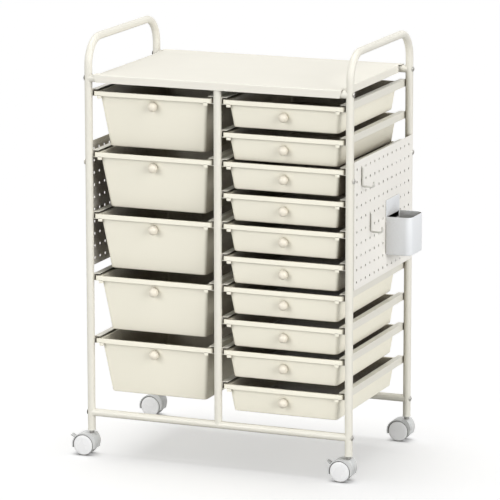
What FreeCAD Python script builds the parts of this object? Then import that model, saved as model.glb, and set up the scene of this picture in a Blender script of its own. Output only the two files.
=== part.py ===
"""Rolling storage cart: a tube frame on twin-wheel casters, with ten shallow and five deep
drawers on sheet runners, a folded shelf, two perforated side boards, a pen bin and two hooks.

Millimetres. The origin is on the floor, midway between the four posts. +Z is up, the drawers
open towards -Y and the pen bin hangs on the +X side.
"""
import FreeCAD, Part
import math
import os

import Sketcher

from FreeCAD import Placement, Rotation, Vector

X_AXIS = Vector(1, 0, 0)
Y_AXIS = Vector(0, 1, 0)
Z_AXIS = Vector(0, 0, 1)

SIZES = [
    # frame of bent and coped tube
    ("tube_dia", 16, "outside diameter of every frame tube"),
    ("tube_wall", 1.2, "wall of the tube"),
    ("post_span_x", 565, "left to right distance of the post centre lines"),
    ("post_span_y", 347, "front to rear distance of the post centre lines"),
    ("foot_height", 52, "floor to the underside of the post end plugs"),
    ("handle_rise", 79, "centre line of the top bars to that of the two handles"),
    ("handle_bend", 55, "bend radius of the handle corners on the centre line"),
    ("bottom_bar_height", 90.5, "floor to the centre line of the bottom bars"),
    ("cope_gap", 0.1, "gap between a coped tube end and the tube that it meets"),
    ("insert_length", 18, "length of the threaded insert in a bar end"),
    ("insert_inset", 0.5, "gap between the insert in a bar end and the post"),
    # folded shelf
    ("shelf_inset", 19.5, "post centre line to the side flange of the shelf"),
    ("shelf_sheet", 1, "thickness of the shelf sheet"),
    ("shelf_flange", 16.5, "depth of the flanges below the top of the shelf"),
    ("shelf_bend", 2.5, "outer bend radius of the folds"),
    ("shelf_flare", 5, "how far each end of the front flange leans out at its top"),
    ("shelf_relief", 4, "width of the corner relief between two flanges"),
    ("shelf_fit", 0.2, "gap between the front flange and the bar behind it"),
    # drawer levels, numbered from the top; each stands on the one below it
    ("top_rise", 26, "top of the level 1 rims to the centre line of the top bars"),
    ("rise_1", 66.6, "level 2 rims to level 1 rims"),
    ("rise_2", 59.2, "level 3 rims to level 2 rims"),
    ("rise_3", 64.4, "level 4 rims to level 3 rims"),
    ("rise_4", 63, "level 5 rims to level 4 rims"),
    ("rise_5", 65.6, "level 6 rims to level 5 rims"),
    ("rise_6", 63.2, "level 7 rims to level 6 rims"),
    ("rise_7", 67.3, "level 8 rims to level 7 rims"),
    ("rise_8", 63.9, "level 9 rims to level 8 rims"),
    ("rise_9", 70.7, "level 10 rims to level 9 rims"),
    ("rise_10", 86.6, "centre line of the bottom bars to the level 10 rims"),
    # drawers
    ("rim_side_gap", 2.5, "gap between a drawer rim and the web of its runner"),
    ("rim_front", 4.2, "how far the rims stand in front of the post centre lines"),
    ("rim_rear_gap", 2.5, "gap between a drawer rim and the stop of its runner"),
    ("rim_radius", 8, "corner radius of the drawer rims"),
    ("lip_height", 9.2, "height of the turned-down lip of a drawer rim"),
    ("drawer_wall", 1.8, "wall of the moulded drawers"),
    ("side_ledge", 11.5, "width of the rim beside the tub"),
    ("front_ledge", 4.5, "width of the rim before and behind the tub"),
    ("tub_radius", 7.5, "corner radius of the tubs"),
    ("side_draft", 6.4, "slope of the tub sides in degrees"),
    ("front_draft", 11.5, "slope of the tub front and back in degrees"),
    ("deep_drop", 115.2, "rim top to underside of a deep drawer"),
    ("shallow_drop", 56.8, "rim top to underside of a shallow drawer"),
    ("tab_width", 9, "width of the two tabs under the front lip"),
    ("tab_drop", 5.5, "how far the tabs hang below the lip"),
    ("tab_inset", 9, "distance of the tabs from the ends of the rim"),
    # knobs
    ("knob_dia", 19.5, "diameter of the ball of a drawer knob"),
    ("knob_stand", 7.5, "distance of the ball centre from the drawer front"),
    ("deep_knob_drop", 25, "rim top to knob centre of a deep drawer"),
    ("shallow_knob_drop", 29, "rim top to knob centre of a shallow drawer"),
    ("knob_screw_dia", 4, "diameter of the screw that holds a knob"),
    ("knob_screw_head", 8, "head diameter of that screw"),
    ("knob_screw_depth", 9, "depth of the screw hole in a knob"),
    # runners
    ("runner_height", 15.2, "height of the channel runners"),
    ("runner_reach", 12.4, "width of the channel runners"),
    ("runner_sheet", 1, "sheet thickness of the runners"),
    ("slide_gap", 0.3, "running gap under the lip of a drawer rim"),
    # perforated side boards
    ("board_sheet", 1.2, "sheet thickness of the boards"),
    ("board_drop", 135, "centre line of the top bars to the top edge of the boards"),
    ("board_tall", 259.5, "height of the boards"),
    ("board_front_inset", 1.5, "board front edge behind the front post centre line"),
    ("board_rear_inset", 3.5, "board rear edge before the rear post centre line"),
    ("board_radius", 3, "corner radius of the boards"),
    ("hole_pitch", 25.4, "pitch of the perforation"),
    ("hole_dia", 5.6, "diameter of the perforation holes"),
    ("hole_front_margin", 15.2, "board front edge to the first column of holes"),
    ("hole_top_margin", 16.9, "board top edge to the first row of holes"),
    ("hole_far_margin", 10, "least distance of the last holes from the far edges"),
    ("board_screw_drop", 38, "board top edge to the two screws that hold the board"),
    # frame screws
    ("screw_dia", 5, "diameter of the frame screws"),
    ("screw_slack", 0.2, "how much wider than the screw its holes are"),
    ("screw_head", 11.5, "head diameter of the frame screws"),
    ("screw_crown", 2.2, "height of the screw heads"),
    ("bar_screw_length", 34, "length of a screw through a post into a bar"),
    ("board_screw_length", 9, "length of a screw through a board into a post"),
    # pen bin
    ("bin_long", 78, "front to rear length of the pen bin"),
    ("bin_reach", 55, "how far the bin stands out from the board"),
    ("bin_tall", 78.5, "height of the bin at its mouth"),
    ("bin_back", 112, "height of the plate at the back of the bin"),
    ("bin_wall", 1.8, "wall of the bin"),
    ("bin_radius", 15, "radius of the two outer corners"),
    ("bin_peg_height", 103, "underside of the bin to the middle of its pegs"),
    ("bin_peg_inset", 10.5, "front face of the bin to its first peg"),
    ("peg_width", 3.6, "width and height of the pegs on the bin"),
    ("peg_rise", 8, "height of the upturned end of a peg"),
    ("peg_slack", 0.3, "gap between a peg or hook and the back of the board"),
    # wire hooks
    ("wire_dia", 4, "wire diameter of the hooks"),
    ("wire_bend", 4, "bend radius of the wire on its centre line"),
    ("hook_drop", 38, "length of the hook down the board"),
    ("hook_reach", 24, "how far the prong stands out"),
    ("hook_tip", 11, "height of the upturned tip"),
    # twin-wheel casters
    ("wheel_dia", 43, "diameter of the caster wheels"),
    ("wheel_inner", 5.5, "caster mid plane to the inner face of a wheel"),
    ("wheel_outer", 16, "caster mid plane to the outer face of a wheel"),
    ("tread_bevel", 1.4, "bevel of the tread edges"),
    ("tread_inset", 2.8, "outer face of a wheel to the end of its full tread"),
    ("cover_step", 0.6, "step between the tread and the cover of a wheel"),
    ("cover_crown", 4.2, "width of the slope round the face of the cover"),
    ("trail", 14, "stem axis to wheel axis"),
    ("axle_dia", 5, "diameter of the axle"),
    ("axle_long", 28, "length of the axle"),
    ("axle_gap", 0.05, "radial running gap of a wheel on its axle"),
    ("hood_gap", 1.1, "gap between the tread and the hood"),
    ("hood_band", 2.5, "thickness of the hood over the wheels"),
    ("hood_wide", 30, "width of the hood over both wheels"),
    ("hood_web", 9.6, "thickness of the web between the wheels"),
    ("hood_skirt", 15, "floor to the lower edge of the hood"),
    ("hood_top", 46.7, "floor to the top of the hood at the stem"),
    ("hood_nose", 13.4, "stem axis to the nose of the hood"),
    ("hood_nose_height", 27, "floor to the nose of the hood"),
    ("stem_dia", 6, "diameter of the stem in the hood"),
    ("stem_gap", 0.05, "radial running gap of the hood on the stem"),
    ("stem_bottom", 30.5, "floor to the lower end of the stem"),
    ("stem_neck", 10, "diameter of the stem collar"),
    ("stem_upper", 8, "diameter of the stem in the post plug"),
    ("collar_gap", 0.3, "gap between the hood and the stem collar"),
    ("stem_short", 9, "top of the stem below the top of the post plug"),
    ("plug_short", 3, "gap between the post plug and the bar screw above it"),
    ("plug_flange", 3, "height of the plug flange under the tube"),
    ("plug_flange_dia", 17.2, "diameter of the plug flange"),
    ("plug_slack", 0.1, "gap between the plug and the tube around it"),
    # brake lever
    ("lever_radius", 19, "wheel axis to lever pivot"),
    ("lever_angle", 150, "direction of the pivot and of the lever, in degrees"),
    ("lever_hub", 7, "diameter of the lever hub"),
    ("lever_pin", 2.4, "diameter of the lever pin"),
    ("lever_plate", 2.6, "thickness of the lever"),
    ("lever_long", 17, "lever pivot to its tip"),
    ("paddle_start", 8, "lever pivot to the start of the paddle"),
    ("paddle_wide", 14, "width of the paddle"),
    ("slot_wide", 6.6, "width of the slot in the hood web"),
    ("slot_side_gap", 0.3, "gap between the lever and each side of its slot"),
]

doc = FreeCAD.newDocument("rolling_cart")
sheet = doc.addObject("Spreadsheet::Sheet", "sizes")


class Size:
    """A number together with the sheet formula that gives it."""

    def __init__(self, value, formula):
        self.value = float(value)
        self.formula = formula

    def __add__(self, other):
        other = as_size(other)
        return Size(self.value + other.value, f"({self.formula} + {other.formula})")

    def __sub__(self, other):
        other = as_size(other)
        return Size(self.value - other.value, f"({self.formula} - {other.formula})")

    def __mul__(self, other):
        other = as_size(other)
        return Size(self.value * other.value, f"({self.formula} * {other.formula})")

    def __truediv__(self, other):
        other = as_size(other)
        return Size(self.value / other.value, f"({self.formula} / {other.formula})")

    def __neg__(self):
        return Size(-self.value, f"(0 - {self.formula})")


def as_size(number):
    if isinstance(number, Size):
        return number
    return Size(number, f"({float(number)!r})")


def root(size):
    return Size(math.sqrt(size.value), f"sqrt({size.formula})")


def tangent(size):
    return Size(math.tan(math.radians(size.value)), f"tan({size.formula})")


def cosine(size):
    return Size(math.cos(math.radians(size.value)), f"cos({size.formula})")


def sine(size):
    return Size(math.sin(math.radians(size.value)), f"sin({size.formula})")


def whole(size):
    return Size(math.floor(size.value), f"floor({size.formula})")


def fill_sheet():
    """Write each driving size to the sheet and give it back under its alias."""
    sizes = {}
    for row, (alias, value, meaning) in enumerate(SIZES, start=1):
        sheet.set(f"A{row}", meaning)
        sheet.set(f"B{row}", str(value))
        sheet.setAlias(f"B{row}", alias)
        sizes[alias] = Size(value, f"sizes.{alias}")
    doc.recompute()
    return sizes


S = fill_sheet()

TUBE_R = S["tube_dia"] / 2
HALF_X = S["post_span_x"] / 2
HALF_Y = S["post_span_y"] / 2
WHEEL_R = S["wheel_dia"] / 2
RUNNER_FACE = HALF_X - TUBE_R - S["runner_sheet"]
MIDDLE_FACE = TUBE_R + S["runner_sheet"]
RIM_WIDTH = RUNNER_FACE - MIDDLE_FACE - S["rim_side_gap"] * 2
RIM_DEPTH = S["post_span_y"] + S["rim_front"] - S["runner_sheet"] - S["rim_rear_gap"]
COLUMN_X = (RUNNER_FACE + MIDDLE_FACE) / 2
RIM_MID_Y = (HALF_Y - S["runner_sheet"] - S["rim_rear_gap"] - HALF_Y - S["rim_front"]) / 2
BOARD_FACE = HALF_X + TUBE_R + S["board_sheet"]

# Tools that only cut reach this many times past the size that they cut through.
PAST = 4

LEVEL_COUNT = 10
QUARTER_TURN = 90
HALF_TURN = 180

# Holes of the boards, as (column from the front, row from the top).
HOOK_HOLES = ((2, 1), (4, 5))
BIN_PEG_HOLES = ((8, 5), (10, 5))


def drawer_levels():
    """Rim heights, top level first, each worked out from the level below it."""
    heights = [S["bottom_bar_height"]]
    for number in range(LEVEL_COUNT, 0, -1):
        heights.insert(0, heights[0] + S[f"rise_{number}"])
    return heights[:-1]


LEVELS = drawer_levels()
DEEP_LEVELS = LEVELS[0::2]
TOP_BAR = LEVELS[0] + S["top_rise"]
PLUG_TOP = S["bottom_bar_height"] - S["screw_dia"] / 2 - S["plug_short"]
STEM_TOP = PLUG_TOP - S["stem_short"]
BOARD_TOP = TOP_BAR - S["board_drop"]
BOARD_SCREW = BOARD_TOP - S["board_screw_drop"]
BOARD_FRONT = S["board_front_inset"] - HALF_Y
BOARD_REAR = HALF_Y - S["board_rear_inset"]


def bind(thing, prop, size):
    """Set a property to a size of the sheet."""
    thing.setExpression(prop, as_size(size).formula)


def new_body(name):
    return doc.addObject("PartDesign::Body", name)


def new_sketch(body, name, plane, offset=None):
    """A sketch on one of the body's own planes, moved along its normal by offset."""
    sketch = body.newObject("Sketcher::SketchObject", name)
    support = next(item for item in body.Origin.OriginFeatures if item.Role == plane)
    sketch.AttachmentSupport = [(support, "")]
    sketch.MapMode = "FlatFace"
    if offset is not None:
        bind(sketch, "AttachmentOffset.Base.z", offset)
    return sketch


def fix(sketch, kind, size, *where):
    """Add one sized constraint and tie it to the sheet."""
    size = as_size(size)
    index = sketch.addConstraint(Sketcher.Constraint(kind, *where, size.value))
    sketch.setExpression(f"Constraints[{index}]", size.formula)


def pin(sketch, edge, end, across, up):
    """Fix one end of an edge, measured from the sketch origin."""
    fix(sketch, "DistanceX", across, -1, 1, edge, end)
    fix(sketch, "DistanceY", up, -1, 1, edge, end)


def arc_between(start, end, radius):
    """Arc from start to end, its centre on the left for a positive radius."""
    chord = end - start
    to_centre = math.sqrt(max(radius * radius - chord.Length * chord.Length / 4, 0))
    side = Vector(-chord.y, chord.x, 0).normalize()
    if radius < 0:
        side = side.negative()
    centre = (start + end) * 0.5 + side * to_centre
    circle = Part.Circle(centre, Z_AXIS, abs(radius))
    first, last = (start, end) if radius > 0 else (end, start)
    return Part.ArcOfCircle(circle, circle.parameter(first), circle.parameter(last))


def trace(sketch, corners, closed=True):
    """Draw through the corners; (across, up, radius) reaches its corner along an arc."""
    spots = [Vector(as_size(item[0]).value, as_size(item[1]).value, 0) for item in corners]
    steps = range(len(corners)) if closed else range(1, len(corners))
    joints = []
    for step in steps:
        start, end = spots[step - 1], spots[step]
        if len(corners[step]) == 3:
            radius = as_size(corners[step][2])
            edge = sketch.addGeometry(arc_between(start, end, radius.value), False)
            near, far = (1, 2) if radius.value > 0 else (2, 1)
            positive = radius if radius.value > 0 else -radius
            fix(sketch, "Radius", positive, edge)
        else:
            edge = sketch.addGeometry(Part.LineSegment(start, end), False)
            near, far = 1, 2
        joints.append((edge, near, far))
        pin(sketch, edge, far, corners[step][0], corners[step][1])
    if not closed:
        edge, near, _ = joints[0]
        pin(sketch, edge, near, corners[0][0], corners[0][1])
    pairs = zip(joints, joints[1:] + joints[:1]) if closed else zip(joints, joints[1:])
    for (edge, _, far), (next_edge, near, _) in pairs:
        sketch.addConstraint(Sketcher.Constraint("Coincident", edge, far, next_edge, near))


def circle(sketch, across, up, radius):
    spot = Vector(as_size(across).value, as_size(up).value, 0)
    edge = sketch.addGeometry(Part.Circle(spot, Z_AXIS, as_size(radius).value), False)
    fix(sketch, "Radius", radius, edge)
    pin(sketch, edge, 3, across, up)


def rounded_box(sketch, left, right, low, high, radius, outer_radius=None):
    """Rounded rectangle; outer_radius is for the two corners on the right."""
    small = as_size(radius)
    large = small if outer_radius is None else as_size(outer_radius)
    left, right, low, high = as_size(left), as_size(right), as_size(low), as_size(high)
    trace(sketch, [
        (left + small, low, small),
        (right - large, low),
        (right, low + large, large),
        (right, high - large),
        (right - large, high, large),
        (left + small, high),
        (left, high - small, small),
        (left, low + small),
    ])


def pad(body, name, sketch, length, both_ways=False, reverse=False):
    feature = body.newObject("PartDesign::Pad", name)
    feature.Profile = sketch
    bind(feature, "Length", length)
    feature.Midplane = both_ways
    feature.Reversed = reverse
    return feature


def pocket(body, name, sketch, length, both_ways=False, reverse=False):
    feature = body.newObject("PartDesign::Pocket", name)
    feature.Profile = sketch
    bind(feature, "Length", length)
    feature.Midplane = both_ways
    feature.Reversed = reverse
    return feature


def turned(body, name, sketch):
    """Solid of revolution about the sketch's upright axis."""
    feature = body.newObject("PartDesign::Revolution", name)
    feature.Profile = sketch
    feature.ReferenceAxis = (sketch, ["V_Axis"])
    feature.Angle = 360
    return feature


def piped(body, name, profile, spine):
    feature = body.newObject("PartDesign::AdditivePipe", name)
    feature.Profile = profile
    edges = range(1, spine.GeometryCount + 1)
    feature.Spine = (spine, [f"Edge{number}" for number in edges])
    return feature


def lofted(body, kind, name, upper, lower):
    feature = body.newObject(kind, name)
    feature.Profile = upper
    feature.Sections = [lower]
    feature.Ruled = True
    return feature


def cylinder(name, radius, length, place):
    """Cylinder along the place's own Z axis, centred on the place."""
    item = doc.addObject("Part::Cylinder", name)
    bind(item, "Radius", radius)
    bind(item, "Height", length)
    half = Vector(0, 0, -as_size(length).value / 2)
    item.Placement = place.multiply(Placement(half, Rotation()))
    return item


def cut(name, base, tool):
    item = doc.addObject("Part::Cut", name)
    item.Base = base
    item.Tool = tool
    return item


def at(across=0, along=0, up=0, axis=Z_AXIS, degrees=0):
    """Placement at a spot, turned by degrees about an axis."""
    spot = Vector(as_size(across).value, as_size(along).value, as_size(up).value)
    return Placement(spot, Rotation(axis, degrees))


def node(label, *pieces):
    """One node made of (master, placement) pieces, each a separate solid."""
    shapes = []
    for master, place in pieces:
        shape = master.Shape.copy()
        shape.Placement = place.multiply(shape.Placement)
        shapes.extend(shape.Solids)
    item = doc.addObject("Part::Feature", label)
    item.Label = label
    item.Shape = shapes[0] if len(shapes) == 1 else Part.makeCompound(shapes)
    nodes.append(item)
    return item


def side_frame_master():
    """Two posts and a handle bent from one tube, with its screw holes, in the YZ plane."""
    body = new_body("side_frame_tube")
    bend = S["handle_bend"]
    low = S["foot_height"] + S["plug_flange"]
    high = TOP_BAR + S["handle_rise"]
    spine = new_sketch(body, "side_frame_spine", "YZ_Plane")
    trace(spine, [
        (-HALF_Y, low),
        (-HALF_Y, high - bend),
        (bend - HALF_Y, high, -bend),
        (HALF_Y - bend, high),
        (HALF_Y, high - bend, -bend),
        (HALF_Y, low),
    ], closed=False)
    ring = new_sketch(body, "side_frame_ring", "XY_Plane", low)
    circle(ring, 0, -HALF_Y, TUBE_R)
    circle(ring, 0, -HALF_Y, TUBE_R - S["tube_wall"])
    piped(body, "side_frame_bend", ring, spine)
    hole_r = (S["screw_dia"] + S["screw_slack"]) / 2
    through = new_sketch(body, "bar_screw_holes", "YZ_Plane")
    outer = new_sketch(body, "board_screw_holes", "YZ_Plane")
    for side in (-HALF_Y, HALF_Y):
        circle(through, side, S["bottom_bar_height"], hole_r)
        circle(through, side, TOP_BAR, hole_r)
        circle(outer, side, BOARD_SCREW, hole_r)
    pocket(body, "bar_screw_bores", through, S["tube_dia"] * PAST, both_ways=True)
    pocket(body, "board_screw_bores", outer, S["tube_dia"] * PAST, reverse=True)
    return body


def coped_tube_master(name, length):
    """Tube along X, hollowed at both ends to the round of the tubes that it meets."""
    lying = at(axis=Y_AXIS, degrees=QUARTER_TURN)
    outside = cylinder(f"{name}_outside", TUBE_R, length, lying)
    inside = cylinder(f"{name}_inside", TUBE_R - S["tube_wall"], length * PAST, lying)
    item = cut(f"{name}_bore", outside, inside)
    for side, end in (("left", -length / 2), ("right", length / 2)):
        neighbour = cylinder(
            f"{name}_{side}_neighbour",
            TUBE_R + S["cope_gap"],
            S["tube_dia"] * PAST,
            at(across=end),
        )
        item = cut(f"{name}_{side}_cope", item, neighbour)
    return item


def insert_master():
    """Threaded insert that takes a frame screw in the end of a bar."""
    body = new_body("bar_insert")
    profile = new_sketch(body, "bar_insert_profile", "XZ_Plane")
    bore = (S["screw_dia"] + S["screw_slack"]) / 2
    wide = TUBE_R - S["tube_wall"] - S["plug_slack"]
    trace(profile, [
        (bore, 0),
        (wide, 0),
        (wide, S["insert_length"]),
        (bore, S["insert_length"]),
    ])
    turned(body, "bar_insert_turned", profile)
    return body


def shelf_master():
    """Shelf folded from one sheet: four flanges round a flat top, relieved at the corners."""
    body = new_body("shelf_sheet_body")
    sheet_t, bend = S["shelf_sheet"], S["shelf_bend"]
    inner_bend = bend - sheet_t
    top = TOP_BAR + TUBE_R + sheet_t
    low = top - S["shelf_flange"]
    front = HALF_Y + TUBE_R + S["shelf_fit"] + sheet_t
    side = HALF_X - S["shelf_inset"]
    wide = side + S["shelf_flare"]

    def channel(name, plane, reach, length):
        sketch = new_sketch(body, name, plane)
        trace(sketch, [
            (-reach, low),
            (sheet_t - reach, low),
            (sheet_t - reach, top - bend),
            (bend - reach, top - sheet_t, -inner_bend),
            (reach - bend, top - sheet_t),
            (reach - sheet_t, top - bend, -inner_bend),
            (reach - sheet_t, low),
            (reach, low),
            (reach, top - bend),
            (reach - bend, top, bend),
            (bend - reach, top),
            (-reach, top - bend, bend),
        ])
        pad(body, f"{name}_fold", sketch, length, both_ways=True)

    channel("front_and_rear", "YZ_Plane", front, wide * 2)
    ends = new_sketch(body, "flange_ends", "XZ_Plane")
    far = wide + S["shelf_flare"]
    for sign in (1, -1):
        trace(ends, [
            (side * sign, low - sheet_t),
            (far * sign, low - sheet_t),
            (far * sign, top + sheet_t),
            (wide * sign, top + sheet_t),
        ])
    pocket(body, "flange_end_trim", ends, front * PAST, both_ways=True)
    notch = new_sketch(body, "side_notches", "XY_Plane", low - sheet_t)
    back = HALF_Y - TUBE_R
    for sign in (1, -1):
        trace(notch, [
            ((side - bend) * sign, -back),
            (far * sign, -back),
            (far * sign, back),
            ((side - bend) * sign, back),
        ])
    pocket(body, "side_notch_trim", notch, S["shelf_flange"] * PAST, reverse=True)
    channel("left_and_right", "XZ_Plane", side, (back - S["shelf_relief"]) * 2)
    return body


def runner_master():
    """Channel that opens towards +X, with its web on X = 0 and a stop at its rear end."""
    body = new_body("runner_channel")
    reach, tall, sheet_t = S["runner_reach"], S["runner_height"], S["runner_sheet"]
    section = new_sketch(body, "runner_section", "XZ_Plane")
    trace(section, [
        (0, 0),
        (reach, 0),
        (reach, sheet_t),
        (sheet_t, sheet_t),
        (sheet_t, tall - sheet_t),
        (reach, tall - sheet_t),
        (reach, tall),
        (0, tall),
    ])
    pad(body, "runner_fold", section, S["post_span_y"], both_ways=True)
    stop = new_sketch(body, "runner_stop", "XZ_Plane", -HALF_Y)
    trace(stop, [(0, 0), (reach, 0), (reach, tall), (0, tall)])
    pad(body, "runner_stop_fold", stop, sheet_t)
    return body


def tub_master(name, drop, knob_drop):
    """Moulded drawer with its rim top on Z = 0: a tapered tub under a turned-down rim."""
    body = new_body(name)
    wall = S["drawer_wall"]
    half_w, half_d = RIM_WIDTH / 2, RIM_DEPTH / 2
    tub_w, tub_d = half_w - S["side_ledge"], half_d - S["front_ledge"]
    side_lean, front_lean = tangent(S["side_draft"]), tangent(S["front_draft"])

    def outline(label, depth, inset, radius):
        across = tub_w - side_lean * depth - inset
        along = tub_d - front_lean * depth - inset
        sketch = new_sketch(body, f"{name}_{label}", "XY_Plane", -depth)
        rounded_box(sketch, -across, across, -along, along, radius)
        return sketch

    zero = as_size(0)
    radius = S["tub_radius"]
    lofted(
        body,
        "PartDesign::AdditiveLoft",
        f"{name}_outside",
        outline("mouth", zero, zero, radius),
        outline("foot", drop, zero, radius),
    )
    plate = new_sketch(body, f"{name}_rim_plate", "XY_Plane")
    rounded_box(plate, -half_w, half_w, -half_d, half_d, S["rim_radius"])
    pad(body, f"{name}_rim", plate, wall, reverse=True)
    lip = new_sketch(body, f"{name}_lip_ring", "XY_Plane")
    rounded_box(lip, -half_w, half_w, -half_d, half_d, S["rim_radius"])
    inner_w, inner_d = half_w - wall, half_d - wall
    rounded_box(lip, -inner_w, inner_w, -inner_d, inner_d, S["rim_radius"] - wall)
    pad(body, f"{name}_lip", lip, S["lip_height"], reverse=True)
    tabs = new_sketch(body, f"{name}_tab_outline", "XY_Plane", -S["lip_height"])
    start = half_w - S["tab_inset"]
    for sign in (1, -1):
        trace(tabs, [
            (start * sign, -half_d),
            (start * sign, wall - half_d),
            ((start - S["tab_width"]) * sign, wall - half_d),
            ((start - S["tab_width"]) * sign, -half_d),
        ])
    pad(body, f"{name}_tabs", tabs, S["tab_drop"], reverse=True)
    lofted(
        body,
        "PartDesign::SubtractiveLoft",
        f"{name}_inside",
        outline("inner_mouth", zero, wall, radius - wall),
        outline("inner_foot", drop - wall, wall, radius - wall),
    )
    seat_y, seat_z = knob_seat(knob_drop)
    hole = new_sketch(body, f"{name}_screw_hole", "XZ_Plane")
    hole.AttachmentOffset = Placement(Vector(0, 0, 0), Rotation(X_AXIS, S["front_draft"].value))
    bind(hole, "AttachmentOffset.Base.y", seat_z)
    bind(hole, "AttachmentOffset.Base.z", -seat_y)
    bind(hole, "AttachmentOffset.Rotation.Angle", S["front_draft"])
    circle(hole, 0, 0, (S["knob_screw_dia"] + S["screw_slack"]) / 2)
    pocket(body, f"{name}_screw_bore", hole, wall * PAST, both_ways=True)
    return body


def knob_seat(knob_drop):
    """Where the knob axis leaves the drawer front, in the frame of the drawer."""
    stand = S["knob_stand"]
    lean = S["front_draft"]
    seat_z = stand * sine(lean) - knob_drop
    seat_y = S["front_ledge"] - RIM_DEPTH / 2 - seat_z * tangent(lean)
    return seat_y, seat_z


def knob_master():
    """Ball knob along +Z, cut flat where it seats on the drawer front at Z = 0."""
    body = new_body("knob_ball")
    ball, stand = S["knob_dia"] / 2, S["knob_stand"]
    bore, depth = S["knob_screw_dia"] / 2, S["knob_screw_depth"]
    profile = new_sketch(body, "knob_profile", "XZ_Plane")
    trace(profile, [
        (bore, 0),
        (root(ball * ball - stand * stand), 0),
        (ball, stand, ball),
        (0, stand + ball, ball),
        (0, depth),
        (bore, depth),
    ])
    turned(body, "knob_turned", profile)
    return body


def knob_screw_master():
    """Pan-head screw from inside the drawer into a knob, along +Z."""
    body = new_body("knob_screw")
    head, shank = S["knob_screw_head"] / 2, S["knob_screw_dia"] / 2
    wall = S["drawer_wall"]
    crown = shank
    profile = new_sketch(body, "knob_screw_profile", "XZ_Plane")
    trace(profile, [
        (0, -wall - crown),
        (head, -wall - crown),
        (head, -wall),
        (shank, -wall),
        (shank, S["knob_screw_depth"] - S["screw_slack"]),
        (0, S["knob_screw_depth"] - S["screw_slack"]),
    ])
    turned(body, "knob_screw_turned", profile)
    return body


def board_master():
    """Perforated board in the YZ plane, its inner face on X = 0."""
    body = new_body("board_sheet_body")
    low = BOARD_TOP - S["board_tall"]
    pitch = S["hole_pitch"]
    along = BOARD_REAR - BOARD_FRONT - S["hole_front_margin"] - S["hole_far_margin"]
    down = S["board_tall"] - S["hole_top_margin"] - S["hole_far_margin"]
    face = new_sketch(body, "board_face", "YZ_Plane")
    rounded_box(face, BOARD_FRONT, BOARD_REAR, low, BOARD_TOP, S["board_radius"])
    pad(body, "board_plate", face, S["board_sheet"])
    first = new_sketch(body, "board_first_hole", "YZ_Plane")
    circle(first, hole_column(1), hole_height(1), S["hole_dia"] / 2)
    hole = pocket(body, "board_hole", first, S["board_sheet"] * PAST, reverse=True)
    grid = body.newObject("PartDesign::MultiTransform", "board_perforation")
    grid.Originals = [hole]
    rows = body.newObject("PartDesign::LinearPattern", "board_hole_rows")
    rows.Direction = (first, ["V_Axis"])
    rows.Reversed = True
    bind(rows, "Length", whole(down / pitch) * pitch)
    bind(rows, "Occurrences", whole(down / pitch) + 1)
    columns = body.newObject("PartDesign::LinearPattern", "board_hole_columns")
    columns.Direction = (first, ["H_Axis"])
    bind(columns, "Length", whole(along / pitch) * pitch)
    bind(columns, "Occurrences", whole(along / pitch) + 1)
    grid.Transformations = [rows, columns]
    body.Tip = grid
    ears = new_sketch(body, "board_ears", "YZ_Plane")
    screws = new_sketch(body, "board_fixings", "YZ_Plane")
    for side in (-HALF_Y, HALF_Y):
        circle(ears, side, BOARD_SCREW, S["screw_head"] / 2)
        circle(screws, side, BOARD_SCREW, (S["screw_dia"] + S["screw_slack"]) / 2)
    pad(body, "board_ear_plates", ears, S["board_sheet"])
    pocket(body, "board_fixing_holes", screws, S["board_sheet"] * PAST, reverse=True)
    return body


def screw_master(name, length):
    """Domed frame screw, its head above Z = 0 and its shank below."""
    body = new_body(name)
    head, shank, crown = S["screw_head"] / 2, S["screw_dia"] / 2, S["screw_crown"]
    dome = (head * head + crown * crown) / (crown * 2)
    profile = new_sketch(body, f"{name}_profile", "XZ_Plane")
    trace(profile, [
        (0, -length),
        (shank, -length),
        (shank, 0),
        (head, 0),
        (0, crown, dome),
    ])
    turned(body, f"{name}_turned", profile)
    return body


def bin_master():
    """Pen bin: a rounded cup with a taller back plate and two pegs for the board holes."""
    body = new_body("bin_body")
    wall, reach, large = S["bin_wall"], S["bin_reach"], S["bin_radius"]
    (first_column, row), _ = BIN_PEG_HOLES
    mid = hole_height(row)
    front = hole_column(first_column) - S["bin_peg_inset"]
    rear = front + S["bin_long"]
    low = mid - S["bin_peg_height"]
    cup = new_sketch(body, "bin_cup_outline", "XY_Plane", low)
    rounded_box(cup, 0, reach, front, rear, wall, large)
    pad(body, "bin_cup", cup, S["bin_tall"])
    back = new_sketch(body, "bin_back_outline", "YZ_Plane")
    rounded_box(back, front, rear, low, low + S["bin_back"], wall)
    pad(body, "bin_back_plate", back, wall)
    hollow = new_sketch(body, "bin_hollow_outline", "XY_Plane", low + wall)
    rounded_box(hollow, wall, reach - wall, front + wall, rear - wall, wall, large - wall)
    pocket(body, "bin_hollow", hollow, S["bin_tall"], reverse=True)
    peg = S["peg_width"]
    behind = S["board_sheet"] + S["peg_slack"]
    for number, (column, _) in enumerate(BIN_PEG_HOLES, start=1):
        side = new_sketch(body, f"bin_peg_outline_{number}", "XZ_Plane", -hole_column(column))
        trace(side, [
            (wall, mid - peg / 2),
            (wall, mid + peg / 2),
            (-behind, mid + peg / 2),
            (-behind, mid + S["peg_rise"]),
            (-behind - peg, mid + S["peg_rise"]),
            (-behind - peg, mid - peg / 2),
        ])
        pad(body, f"bin_peg_{number}", side, peg, both_ways=True)
    return body


def hole_column(number):
    """Y of a column of holes, counted from the front."""
    return BOARD_FRONT + S["hole_front_margin"] + S["hole_pitch"] * (number - 1)


def hole_height(number):
    """Z of a row of holes, counted from the top."""
    return BOARD_TOP - S["hole_top_margin"] - S["hole_pitch"] * (number - 1)


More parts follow.
